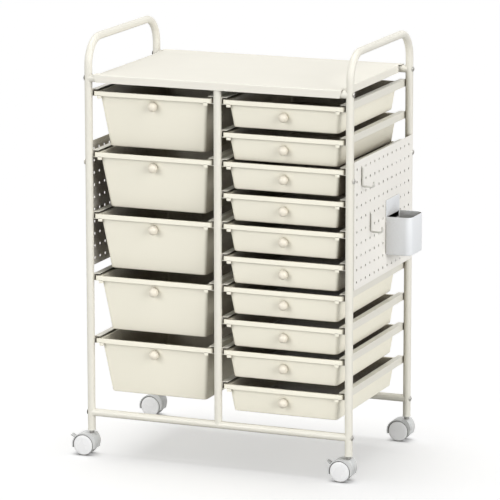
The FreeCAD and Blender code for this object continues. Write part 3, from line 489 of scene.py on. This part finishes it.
def side_frames():
    """Each side frame is one tube: front post, handle, rear post."""
    for side in ("left", "right"):
        node = f"side_frame_{side}"
        low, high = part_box(node)
        middle = (low.x + high.x) / 2
        front, rear = low.y + TUBE_R, high.y - TUBE_R
        crest = high.z - TUBE_R
        corners = [
            Vector((middle, front, low.z)),
            Vector((middle, front, crest)),
            Vector((middle, rear, crest)),
            Vector((middle, rear, low.z)),
        ]
        bm = bmesh.new()
        path = bend_path(corners, HANDLE_BEND, HANDLE_STEPS)
        sweep(bm, path, TUBE_R, ACROSS, TUBE_SEGMENTS)
        stand_in(finish_piece(f"{side}_frame_tube", bm, [COAT]), "frame", node)


def coped_tube(bm, start, end):
    """Straight tube whose ends follow the round of the tubes at start and end."""
    reach = TUBE_R + COPE_GAP
    along = (end - start).normalized()
    other = along.cross(ALONG).normalized()
    rings = []
    for part in (0.0, 0.02, 0.98, 1.0):
        ring = []
        for step in range(TUBE_SEGMENTS):
            angle = TURN * step / TUBE_SEGMENTS
            offset = TUBE_R * math.cos(angle)
            cope = math.sqrt(reach ** 2 - offset ** 2)
            spot = (start + along * cope).lerp(end - along * cope, part)
            ring.append(spot + ALONG * offset + other * TUBE_R * math.sin(angle))
        rings.append(ring)
    stack(bm, rings)


def bars():
    """Bars between the side frames, and the middle posts between the bars."""
    left, right = box_mid("side_frame_left").x, box_mid("side_frame_right").x
    for name in ("top_bars", "bottom_bars"):
        low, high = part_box(name)
        height = (low.z + high.z) / 2
        bm = bmesh.new()
        for along in (low.y + TUBE_R, high.y - TUBE_R):
            coped_tube(bm, Vector((left, along, height)), Vector((right, along, height)))
        stand_in(finish_piece(f"{name}_tube", bm, [COAT]), "frame", name)
    lower, upper = box_mid("bottom_bars").z, box_mid("top_bars").z
    for name in ("middle_post_front", "middle_post_rear"):
        spot = box_mid(name)
        bm = bmesh.new()
        coped_tube(bm, Vector((spot.x, spot.y, lower)), Vector((spot.x, spot.y, upper)))
        stand_in(finish_piece(f"{name}_tube", bm, [COAT]), "frame", name)


# Drawers


def tub_rings(half_w, half_d, drop):
    """Rings of a drawer's skin, from under it over the rim to its floor, and the first inside."""
    tub_w, tub_d = half_w - SIDE_LEDGE, half_d - FRONT_LEDGE
    rings = []

    def tub(depth, inset, radius=TUB_R):
        across = tub_w - SIDE_LEAN * depth - inset
        along = tub_d - FRONT_LEAN * depth - inset
        rings.append(rounded_ring(across, along, radius, -depth))

    def rim(inset, depth):
        rings.append(rounded_ring(half_w - inset, half_d - inset, RIM_R - inset, -depth))

    # The underside stands on a low edge round its sunken middle.
    tub(drop - FOOT_SINK, 16 * MM, TUB_R - 4 * MM)
    tub(drop - FOOT_SINK, 10 * MM, TUB_R - 2 * MM)
    tub(drop, 9 * MM, TUB_R - 2 * MM)
    for turn in fillet_turns():
        tub(drop - FOOT_R * (1 - math.cos(turn)), FOOT_R * (1 - math.sin(turn)))
    for part in (0.75, 0.5, 0.25):
        tub(WALL + (drop - FOOT_R - WALL) * part, 0)
    # Fillet under the rim, then the lip down its inner and up its outer side.
    tub(WALL + 1.2 * MM, 0)
    tub(WALL + 0.35 * MM, -0.35 * MM)
    tub(WALL, -1.2 * MM)
    rim(WALL + RIM_FILLET, WALL)
    rim(WALL + RIM_FILLET / 4, WALL + RIM_FILLET / 4)
    rim(WALL, WALL + RIM_FILLET)
    rim(WALL, LIP - LIP_EDGE)
    rim(WALL - LIP_EDGE, LIP)
    rim(LIP_EDGE, LIP)
    rim(0.0, LIP - LIP_EDGE)
    rim(0.0, RIM_EDGE * 1.3)
    for turn in fillet_turns()[1:]:
        rim(RIM_EDGE * (1 - math.cos(turn)), RIM_EDGE * (1 - math.sin(turn)))
    inside = len(rings)
    # Over the rim and down the inner wall to the floor.
    tub(0, WALL - 1.0 * MM, TUB_R - 1 * MM)
    tub(0.25 * MM, WALL - 0.35 * MM, TUB_R - 1.5 * MM)
    tub(1.0 * MM, WALL, TUB_R - WALL)
    for part in (0.25, 0.5, 0.75):
        tub(WALL + (drop - FOOT_R - WALL) * part, WALL, TUB_R - WALL)
    base = drop - WALL
    for turn in reversed(fillet_turns()):
        rise = INNER_FOOT_R * (1 - math.cos(turn))
        tub(base - rise, WALL + INNER_FOOT_R * (1 - math.sin(turn)), TUB_R - WALL)
    return rings, inside


def drawer(node, name):
    """Moulded tub with its rim, and two tabs under the front of the rim."""
    low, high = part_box(node)
    middle = (low + high) / 2
    half_w, half_d = (high.x - low.x) / 2, (high.y - low.y) / 2
    place = Matrix.Translation((middle.x, middle.y, high.z))
    bm = bmesh.new()
    rings, inside = tub_rings(half_w, half_d, high.z - low.z)
    skins = [0] * inside + [1] * (len(rings) - inside - 1)
    stack(bm, [[place @ point for point in ring] for ring in rings], materials=skins)
    foot = high.z - LIP
    for side in (-1, 1):
        outer = middle.x + side * (half_w - TAB_INSET)
        left, right = sorted((outer, outer - side * TAB_WIDTH))
        cuboid(
            bm,
            (left, low.y, foot - TAB_DROP),
            (right, low.y + WALL, foot + TAB_ROOT),
            TAB_BEVEL,
        )
    piece = finish_piece(name, bm, [DRAWER, DRAWER_INSIDE_SHADED], 40)
    stand_in(piece, node, node)


def knob(node, body, name):
    """Ball knob, flat on the drawer front, with its screw inside the drawer."""
    low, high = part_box(node)
    centre = Vector(((low.x + high.x) / 2, low.y + KNOB_R, high.z - KNOB_R))
    outward = Vector((0, -math.cos(FRONT_DRAFT), -math.sin(FRONT_DRAFT)))
    turn = UP.rotation_difference(outward).to_matrix().to_4x4()
    place = Matrix.Translation(centre - outward * KNOB_STAND) @ turn
    seat_angle = -math.degrees(math.asin(KNOB_STAND / KNOB_R))
    skirt = [
        (AXIS_R, 0.0),
        (KNOB_SKIRT_R, 0.0),
        (KNOB_SKIRT_R, 0.5 * MM),
        (KNOB_SKIRT_R - 0.3 * MM, 0.9 * MM),
    ]
    ball = arc((0, KNOB_STAND), KNOB_R, seat_angle + 6, 89, KNOB_STEPS)
    bm = bmesh.new()
    lathe(bm, skirt + ball, place, KNOB_SEGMENTS)
    crown = -WALL - KNOB_SCREW_CROWN
    screw_head = [
        (AXIS_R, crown),
        (KNOB_SCREW_R - KNOB_SCREW_EDGE, crown),
        (KNOB_SCREW_R, crown + KNOB_SCREW_EDGE),
        (KNOB_SCREW_R, -WALL),
        (AXIS_R, -WALL),
    ]
    lathe(bm, screw_head, place, SCREW_SEGMENTS, [1] * len(screw_head))
    stand_in(finish_piece(name, bm, [KNOB, SCREW]), body, node)


def drawers():
    """Drawers and knobs of the deep and the shallow column."""
    for kind, count in (("deep", 5), ("shallow", 10)):
        for number in range(1, count + 1):
            body = f"{kind}_drawer_{number}"
            drawer(body, f"{kind}_tub_{number}")
            knob(f"{kind}_knob_{number}", body, f"{kind}_ball_knob_{number}")


# Sides


def hole_spot(column, row, top):
    """Middle of a hole as (y, z), for a board whose top edge is at top."""
    return (
        BOARD_FRONT + HOLE_FRONT + HOLE_PITCH * column,
        top - HOLE_TOP - HOLE_PITCH * row,
    )


def board_outline(bottom, top):
    """Round corners of a board as arcs of (y, z) points, from the lower front one onwards."""
    corners = ((BOARD_FRONT, bottom), (BOARD_REAR, bottom), (BOARD_REAR, top), (BOARD_FRONT, top))
    outline = []
    for corner, (y, z) in enumerate(corners):
        centre = (
            y + (BOARD_CORNER_R if y == BOARD_FRONT else -BOARD_CORNER_R),
            z + (BOARD_CORNER_R if z == bottom else -BOARD_CORNER_R),
        )
        start = 180 + 90 * corner
        outline.append(arc(centre, BOARD_CORNER_R, start, start + 90, BOARD_CORNER_STEPS))
    return outline


def cell_marks(first, count):
    """Places along the edge of a row of hole cells where the cells have points."""
    half = HOLE_PITCH / 2
    marks = [
        first + HOLE_PITCH * number + half * math.tan(math.radians(15 * tick))
        for number in range(count)
        for tick in range(-3, 3)
    ]
    return marks + [first + HOLE_PITCH * (count - 1) + half]


def board_borders(outline, top):
    """Four plain strips between the outline and the hole cells, as (y, z) points."""
    first_y, first_z = hole_spot(0, 0, top)
    last_y, last_z = hole_spot(HOLE_COLUMNS - 1, HOLE_ROWS - 1, top)
    half = HOLE_PITCH / 2
    marks_y = cell_marks(first_y, HOLE_COLUMNS)
    marks_z = cell_marks(last_z, HOLE_ROWS)
    inner_edges = [
        [(y, last_z - half) for y in reversed(marks_y)],
        [(last_y + half, z) for z in reversed(marks_z)],
        [(y, first_z + half) for y in marks_y],
        [(first_y - half, z) for z in marks_z],
    ]
    middle = BOARD_CORNER_STEPS // 2
    borders = []
    for number, inner_edge in enumerate(inner_edges):
        after = outline[(number + 1) % 4]
        borders.append(outline[number][middle:] + after[:middle + 1] + inner_edge)
    return borders


def board_face(bm, level, centres, borders, flip):
    """One face of a board: a square cell round each hole, and the border strips."""

    def spot(y, z):
        return bm.verts.new((level, y, z))

    for y, z in centres:
        inner, outer = [], []
        for step in range(HOLE_SEGMENTS):
            angle = TURN * step / HOLE_SEGMENTS + TURN / 8
            cosine, sine = math.cos(angle), math.sin(angle)
            reach = HOLE_PITCH / 2 / max(abs(cosine), abs(sine))
            inner.append(spot(y + HOLE_R * cosine, z + HOLE_R * sine))
            outer.append(spot(y + reach * cosine, z + reach * sine))
        for step in range(HOLE_SEGMENTS):
            after = (step + 1) % HOLE_SEGMENTS
            quad = (inner[step], outer[step], outer[after], inner[after])
            bm.faces.new(tuple(reversed(quad)) if flip else quad)
    for border in borders:
        verts = [spot(*point) for point in border]
        bm.faces.new(list(reversed(verts)) if flip else verts)


def board(node, name):
    """Perforated sheet with round corners and an ear for the screw at each post."""
    low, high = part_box(node)
    levels = (low.x, high.x)
    places = [(column, row) for row in range(HOLE_ROWS) for column in range(HOLE_COLUMNS)]
    centres = [hole_spot(column, row, high.z) for column, row in places]
    outline = board_outline(low.z, high.z)
    borders = board_borders(outline, high.z)
    bm = bmesh.new()
    board_face(bm, low.x, centres, borders, False)
    board_face(bm, high.x, centres, borders, True)
    for y, z in centres:
        rings = [[], []]
        for step in range(HOLE_SEGMENTS):
            angle = TURN * step / HOLE_SEGMENTS + TURN / 8
            across, up = y + HOLE_R * math.cos(angle), z + HOLE_R * math.sin(angle)
            for ring, level in zip(rings, levels):
                ring.append(Vector((level, across, up)))
        stack(bm, rings, False)
    edge = [point for corner in outline for point in corner]
    stack(bm, [[Vector((level, y, z)) for y, z in edge] for level in levels], False)
    sheet = high.x - low.x
    ear = [(FIXING_HOLE_R, 0), (SCREW_HEAD_R, 0), (SCREW_HEAD_R, sheet), (FIXING_HOLE_R, sheet)]
    for along in (low.y + SCREW_HEAD_R, high.y - SCREW_HEAD_R):
        turn = Matrix.Rotation(TURN / 4, 4, "Y")
        place = Matrix.Translation((low.x, along, BOARD_SCREW_Z)) @ turn
        lathe(bm, ear, place, EAR_SEGMENTS)
    stand_in(finish_piece(name, bm, [BOARD_COAT]), "frame", node)


def pen_bin():
    """Cup with two large outer corners, a back plate over it and two hooked pegs."""
    low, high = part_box("pen_bin")
    board_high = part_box("pegboard_right")[1]
    board_face_x = board_high.x
    middle_y = (low.y + high.y) / 2
    half_y = (high.y - low.y) / 2

    def ring(inset, height):
        left, right = board_face_x + inset, high.x - inset
        large = BIN_OUTER_R - inset
        corners = (
            (right, half_y - inset, large),
            (left, half_y - inset, BIN_INNER_R),
            (left, -half_y + inset, BIN_INNER_R),
            (right, -half_y + inset, large),
        )
        spots = []
        for corner, (x, y, radius) in enumerate(corners):
            sign_x = 1 if corner in (0, 3) else -1
            sign_y = 1 if corner in (0, 1) else -1
            centre = (x - sign_x * radius, middle_y + y - sign_y * radius)
            start = 90 * corner
            for across, along in arc(centre, radius, start, start + 90, BIN_CORNER_STEPS):
                spots.append(Vector((across, along, low.z + height)))
        return spots

    bm = bmesh.new()
    rings = [ring(6 * MM, 0)]
    for turn in fillet_turns():
        rings.append(ring(BIN_FOOT_R * (1 - math.sin(turn)), BIN_FOOT_R * (1 - math.cos(turn))))
    rings += [
        ring(0, BIN_TALL - BIN_LIP),
        ring(BIN_LIP * 0.3, BIN_TALL - BIN_LIP * 0.3),
        ring(BIN_LIP, BIN_TALL),
        ring(BIN_WALL - BIN_LIP, BIN_TALL),
        ring(BIN_WALL - BIN_LIP * 0.3, BIN_TALL - BIN_LIP * 0.3),
        ring(BIN_WALL, BIN_TALL - BIN_LIP),
        ring(BIN_WALL, BIN_WALL + 2 * MM),
        ring(BIN_WALL + 2 * MM, BIN_WALL),
    ]
    stack(bm, rings)
    cuboid(
        bm,
        (board_face_x, low.y, low.z + BIN_TALL - BIN_BACK_LAP),
        (board_face_x + BIN_WALL, high.y, high.z),
        BIN_LIP,
    )
    neck = board_face_x + BIN_WALL / 2
    for column, row in BIN_PEG_HOLES:
        along, height = hole_spot(column, row, board_high.z)
        foot, crest, tip = height - PEG_WIDTH / 2, height + PEG_WIDTH / 2, height + PEG_RISE
        hooked = (
            (neck, foot),
            (neck, crest),
            (low.x + PEG_WIDTH, crest),
            (low.x + PEG_WIDTH, tip),
            (low.x, tip),
            (low.x, foot),
        )
        faces = (along - PEG_WIDTH / 2, along + PEG_WIDTH / 2)
        stack(bm, [[Vector((x, y, z)) for x, z in hooked] for y in faces])
    stand_in(finish_piece("pen_cup", bm, [BIN]), "frame", "pen_bin")


def hooks():
    """Wire hooks: caught behind the board, down its face and out to an upturned tip."""
    board_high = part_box("pegboard_right")[1]
    bm = bmesh.new()
    for column, row in HOOK_HOLES:
        along, height = hole_spot(column, row, board_high.z)
        face = board_high.x + WIRE_R + WIRE_GAP
        back = board_high.x - WIRE_BEHIND - WIRE_R
        drop, out = height - HOOK_DROP, face + HOOK_REACH
        corners = [
            Vector((back, along, height + HOOK_RISE)),
            Vector((back, along, height)),
            Vector((face, along, height)),
            Vector((face, along, drop)),
            Vector((out, along, drop)),
            Vector((out, along, drop + HOOK_TIP)),
        ]
        path = [corners[0]]
        path += bend_path(corners[:3], HOOK_NECK_BEND, 6)[1:-1]
        path += bend_path(corners[1:4], HOOK_NECK_BEND, 6)[1:-1]
        path += bend_path(corners[2:5], HOOK_BEND, 8)[1:-1]
        path += bend_path(corners[3:6], HOOK_BEND, 8)[1:]
        sweep(bm, path, WIRE_R, ALONG, WIRE_SEGMENTS)
    stand_in(finish_piece("wire_hooks", bm, [WIRE]), "frame", "pegboard_hooks")


# Screws, plugs and casters


def screw(bm, place):
    """Domed head with a hexagon socket, and the piece of shank that shows between the pieces."""
    dome = (SCREW_HEAD_R ** 2 + SCREW_CROWN ** 2) / (2 * SCREW_CROWN)
    segments = SCREW_SEGMENTS
    profile = [(SCREW_R, -SCREW_SHOWN), (SCREW_R, 0.0), (SCREW_HEAD_R, 0.0)]
    for step in range(1, 7):
        radius = SCREW_HEAD_R + (SOCKET_REACH * 1.25 - SCREW_HEAD_R) * step / 6
        profile.append((radius, SCREW_CROWN - dome + math.sqrt(dome ** 2 - radius ** 2)))
    top = lathe(bm, profile, place, segments)[-1]
    bm.faces.remove(next(face for face in top[0].link_faces if len(face.verts) == segments))
    rim, floor = [], []
    for step in range(segments):
        angle = TURN * step / segments
        reach = SOCKET_REACH / math.cos((angle + TURN / 12) % (TURN / 6) - TURN / 12)
        for ring, height in ((rim, SCREW_CROWN - 0.25 * MM), (floor, SOCKET_FLOOR)):
            point = Vector((reach * math.cos(angle), reach * math.sin(angle), height))
            ring.append(bm.verts.new(place @ point))
    bridge(bm, top, rim)
    bridge(bm, rim, floor)
    bm.faces.new(floor)


def screws():
    """Screws through the posts into the bars, and through the boards into the posts."""
    low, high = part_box("frame_screws")
    heights = (
        (box_mid("bottom_bars").z, 0),
        (box_mid("top_bars").z, 0),
        (BOARD_SCREW_Z, BOARD_SHEET),
    )
    bm = bmesh.new()
    for node, side in (("side_frame_left", -1), ("side_frame_right", 1)):
        post = box_mid(node).x
        turn = Matrix.Rotation(TURN / 4 * side, 4, "Y")
        for along in (low.y + SCREW_HEAD_R, high.y - SCREW_HEAD_R):
            for height, sheet in heights:
                face = post + side * (TUBE_R + sheet)
                screw(bm, Matrix.Translation((face, along, height)) @ turn)
    piece = finish_piece("frame_screw_heads", bm, [SCREW])
    stand_in(piece, "frame", "frame_screws")


def plugs_and_stems():
    """Plug in the foot of each post, and the caster stem that stands in it."""
    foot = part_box("post_end_plugs")[0].z
    plug = (
        (PLUG_BORE_R, foot),
        (PLUG_FLANGE_R - 0.6 * MM, foot),
        (PLUG_FLANGE_R, foot + 0.6 * MM),
        (PLUG_FLANGE_R, foot + PLUG_FLANGE - 0.5 * MM),
        (PLUG_FLANGE_R - 0.5 * MM, foot + PLUG_FLANGE),
        (PLUG_SLEEVE_R, foot + PLUG_FLANGE),
        (PLUG_SLEEVE_R, foot + PLUG_LENGTH),
        (PLUG_BORE_R, foot + PLUG_LENGTH),
    )
    stem = (
        (2.9 * MM, STEM_FOOT),
        (3.0 * MM, STEM_NECK),
        (STEM_NECK_R - 0.4 * MM, STEM_NECK),
        (STEM_NECK_R, STEM_NECK + 0.4 * MM),
        (STEM_NECK_R, foot - 0.4 * MM),
        (STEM_NECK_R - 0.4 * MM, foot),
        (STEM_UPPER_R, foot),
        (STEM_UPPER_R, foot + STEM_LENGTH),
    )
    plug_bm, stem_bm = bmesh.new(), bmesh.new()
    low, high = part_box("side_frame_left")
    for node in ("side_frame_left", "side_frame_right"):
        for along in (low.y + TUBE_R, high.y - TUBE_R):
            place = Matrix.Translation((box_mid(node).x, along, 0))
            lathe(plug_bm, plug, place, PLUG_SEGMENTS)
            lathe(stem_bm, stem, place, STEM_SEGMENTS)
    plugs = finish_piece("post_plugs", plug_bm, [PLUG])
    stand_in(plugs, "frame", "post_end_plugs")
    stems = finish_piece("stem_pins", stem_bm, [STEM])
    stand_in(stems, "frame", "caster_stems")


def wheel(node, name):
    """Grey tread with a pale domed cover that stands in it, lathed about Y."""
    low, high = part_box(node)
    middle = (low + high) / 2
    outward = 1 if "inner" in node else -1
    radius = (high.z - low.z) / 2
    wide = high.y - low.y
    shoulder = wide - 2.2 * MM
    turn = Matrix.Rotation(-TURN / 4 * outward, 4, "X")
    inner_face = low.y if outward > 0 else high.y
    place = Matrix.Translation((middle.x, inner_face, middle.z)) @ turn
    tread = [
        (2.6 * MM, 0.0),
        (radius - 2.2 * MM, 0.0),
        (radius - 0.8 * MM, 0.35 * MM),
        (radius, 1.5 * MM),
        (radius, shoulder - 0.8 * MM),
        (radius - 0.25 * MM, shoulder),
        (radius - 0.75 * MM, shoulder + 0.3 * MM),
    ]
    cover = [
        (radius - 0.75 * MM, shoulder),
        (radius - 0.85 * MM, shoulder + 0.7 * MM),
        (radius - 1.3 * MM, wide - 1.0 * MM),
        (radius - 2.4 * MM, wide - 0.55 * MM),
        (radius - 5 * MM, wide - 0.25 * MM),
        (radius - 9 * MM, wide - 0.08 * MM),
        (radius * 0.3, wide),
        (0.3 * MM, wide),
    ]
    skins = [0] * len(tread) + [1] * (len(cover) - 1)
    bm = bmesh.new()
    lathe(bm, tread + cover, place, WHEEL_SEGMENTS, skins)
    stand_in(finish_piece(name, bm, [TREAD, COVER]), node, node)


def wheels():
    """Two wheels on each caster."""
    for corner in ("front_left", "front_right", "rear_left", "rear_right"):
        for side in ("inner", "outer"):
            wheel(f"wheel_{corner}_{side}", f"twin_wheel_{corner}_{side}")


def coat_nodes():
    """Materials of the CAD nodes that keep their own shape."""
    finishes = {
        "top_shelf": SHELF_COAT,
        "left_runners": RUNNER_COAT,
        "right_runners": RUNNER_COAT,
    }
    for name, item in NODES.items():
        material = finishes.get(name)
        if name.startswith(("caster_housing", "brake_lever")):
            material = CASTER
        if material is not None:
            item.data.materials.clear()
            item.data.materials.append(material)


# Studio

# Suns as name, direction towards the light, strength, spread and whether gloss shows them.
SIDE_SUNS = (
    ("key", (-0.50, -0.85, 0.38), 1.45, 35, True),
    ("low_key", (-0.25, -0.95, 0.08), 0.36, 60, False),
    ("fill", (0.90, -0.35, 0.25), 2.65, 50, True),
    ("back", (-0.60, 0.75, 0.35), 0.9, 60, False),
)
TOP_SUN = ("top", (-0.10, 0.10, 1.00), 1.48, 42, True)
SKY_LEVEL = 0.25

# The floor as the camera sees it: its own shade, and a glow that lifts open floor to white.
FLOOR_HALF = 30.0
FLOOR_SHADE = 0.75
FLOOR_OPEN = 1.04
# What the floor throws back onto the cart.
FLOOR_BOUNCE = 0.8
# Painted contact shadow: the floor darkens within this reach of what stands on it.
CONTACT_SHADE = 0.1
CONTACT_REACH = 12 * MM
CONTACT_SAMPLES = 8

CAMERA_SPOT = (2.7867, -6.8916, 1.9859)
CAMERA_YAW = 0.38432
CAMERA_PITCH = 0.20772
CAMERA_ROLL = -0.0009
CAMERA_LENS = 265.9
CAMERA_FAR = 60.0
SENSOR = 36.0


def diffuse(tree, shade):
    """Matt grey shader."""
    item = add_node(tree, "ShaderNodeBsdfDiffuse")
    item.inputs["Color"].default_value = (shade, shade, shade, 1)
    return item.outputs["BSDF"]


def blend(tree, share, first, second):
    """The second shader by the share, and the first by the rest."""
    item = add_node(tree, "ShaderNodeMixShader")
    tree.links.new(share, item.inputs["Fac"])
    tree.links.new(first, item.inputs[1])
    tree.links.new(second, item.inputs[2])
    return item.outputs["Shader"]


def open_floor_light():
    """Light on open floor, as a share of what a white diffuse floor needs to look white."""
    _, toward, strength, _, _ = TOP_SUN
    return SKY_LEVEL + strength * Vector(toward).normalized().z / math.pi


def floor_material():
    """Just white where it lies open to the camera, grey in the shadows, with a painted contact
    shadow next to what stands on it.
    """
    material = bpy.data.materials.new("pale_floor")
    material.use_nodes = True
    tree = material.node_tree
    tree.nodes.clear()
    glow = add_node(tree, "ShaderNodeEmission")
    glow.inputs["Strength"].default_value = FLOOR_OPEN - FLOOR_SHADE * open_floor_light()
    lit = add_node(tree, "ShaderNodeAddShader")
    tree.links.new(diffuse(tree, FLOOR_SHADE), lit.inputs[0])
    tree.links.new(glow.outputs["Emission"], lit.inputs[1])
    near = add_node(tree, "ShaderNodeAmbientOcclusion", samples=CONTACT_SAMPLES)
    near.inputs["Distance"].default_value = CONTACT_REACH
    contact_shadow = diffuse(tree, CONTACT_SHADE)
    seen = blend(tree, near.outputs["AO"], contact_shadow, lit.outputs["Shader"])
    path = add_node(tree, "ShaderNodeLightPath")
    surface = blend(tree, path.outputs["Is Camera Ray"], diffuse(tree, FLOOR_BOUNCE), seen)
    output = add_node(tree, "ShaderNodeOutputMaterial")
    tree.links.new(surface, output.inputs["Surface"])
    return material


def stage():
    """Pale floor under the cart."""
    bm = bmesh.new()
    half = FLOOR_HALF
    corners = [(-half, -half, 0), (half, -half, 0), (half, half, 0), (-half, half, 0)]
    bm.faces.new([bm.verts.new(corner) for corner in corners])
    mesh = bpy.data.meshes.new("studio_floor")
    bm.to_mesh(mesh)
    bm.free()
    mesh.materials.append(floor_material())
    floor = bpy.data.objects.new("studio_floor", mesh)
    bpy.context.scene.collection.objects.link(floor)
    return floor


def sky():
    """Even light all round, white where the camera, gloss or glass sees it."""
    world = bpy.data.worlds.new("studio_world")
    bpy.context.scene.world = world
    world.use_nodes = True
    tree = world.node_tree
    tree.nodes.clear()
    dim = add_node(tree, "ShaderNodeBackground")
    dim.inputs["Strength"].default_value = SKY_LEVEL
    white = add_node(tree, "ShaderNodeBackground")
    white.inputs["Color"].default_value = (1, 1, 1, 1)
    path = add_node(tree, "ShaderNodeLightPath")
    seen = path.outputs["Is Camera Ray"]
    for name in ("Is Glossy Ray", "Is Transmission Ray"):
        either = add_node(tree, "ShaderNodeMath", operation="MAXIMUM")
        tree.links.new(seen, either.inputs[0])
        tree.links.new(path.outputs[name], either.inputs[1])
        seen = either.outputs["Value"]
    surface = blend(tree, seen, dim.outputs["Background"], white.outputs["Background"])
    output = add_node(tree, "ShaderNodeOutputWorld")
    tree.links.new(surface, output.inputs["Surface"])


def sun(name, toward, strength, spread, glossy):
    """Soft parallel light from the direction toward; spread is its angle in degrees."""
    light = bpy.data.lights.new(name, "SUN")
    light.energy = strength
    light.angle = math.radians(spread)
    item = bpy.data.objects.new(name, light)
    item.rotation_euler = Vector(toward).to_track_quat("Z", "Y").to_euler()
    item.visible_glossy = glossy
    bpy.context.scene.collection.objects.link(item)
    return item


def lights(floor):
    """The side suns leave the floor out, so the cart's shadow stays under it."""
    sun(*TOP_SUN)
    left_out = bpy.data.collections.new("floor_without_side_suns")
    left_out.objects.link(floor)
    for item in left_out.collection_objects:
        item.light_linking.link_state = "EXCLUDE"
    for values in SIDE_SUNS:
        sun(*values).light_linking.receiver_collection = left_out


def camera():
    """Camera fitted to the posts, bars and holes."""
    lens = bpy.data.cameras.new("photo_camera")
    lens.sensor_width = SENSOR
    lens.lens = CAMERA_LENS
    lens.clip_end = CAMERA_FAR
    item = bpy.data.objects.new("photo_camera", lens)
    bpy.context.scene.collection.objects.link(item)
    turn = Matrix.Rotation(CAMERA_YAW, 4, "Z")
    tilt = Matrix.Rotation(TURN / 4 - CAMERA_PITCH, 4, "X")
    roll = Matrix.Rotation(CAMERA_ROLL, 4, "Z")
    item.matrix_world = Matrix.Translation(CAMERA_SPOT) @ turn @ tilt @ roll
    bpy.context.scene.camera = item


side_frames()
bars()
drawers()
board("pegboard_left", "left_perforated_board")
board("pegboard_right", "right_perforated_board")
pen_bin()
hooks()
screws()
plugs_and_stems()
wheels()
coat_nodes()
sky()
lights(stage())
camera()
bpy.context.scene.view_settings.view_transform = "Standard"
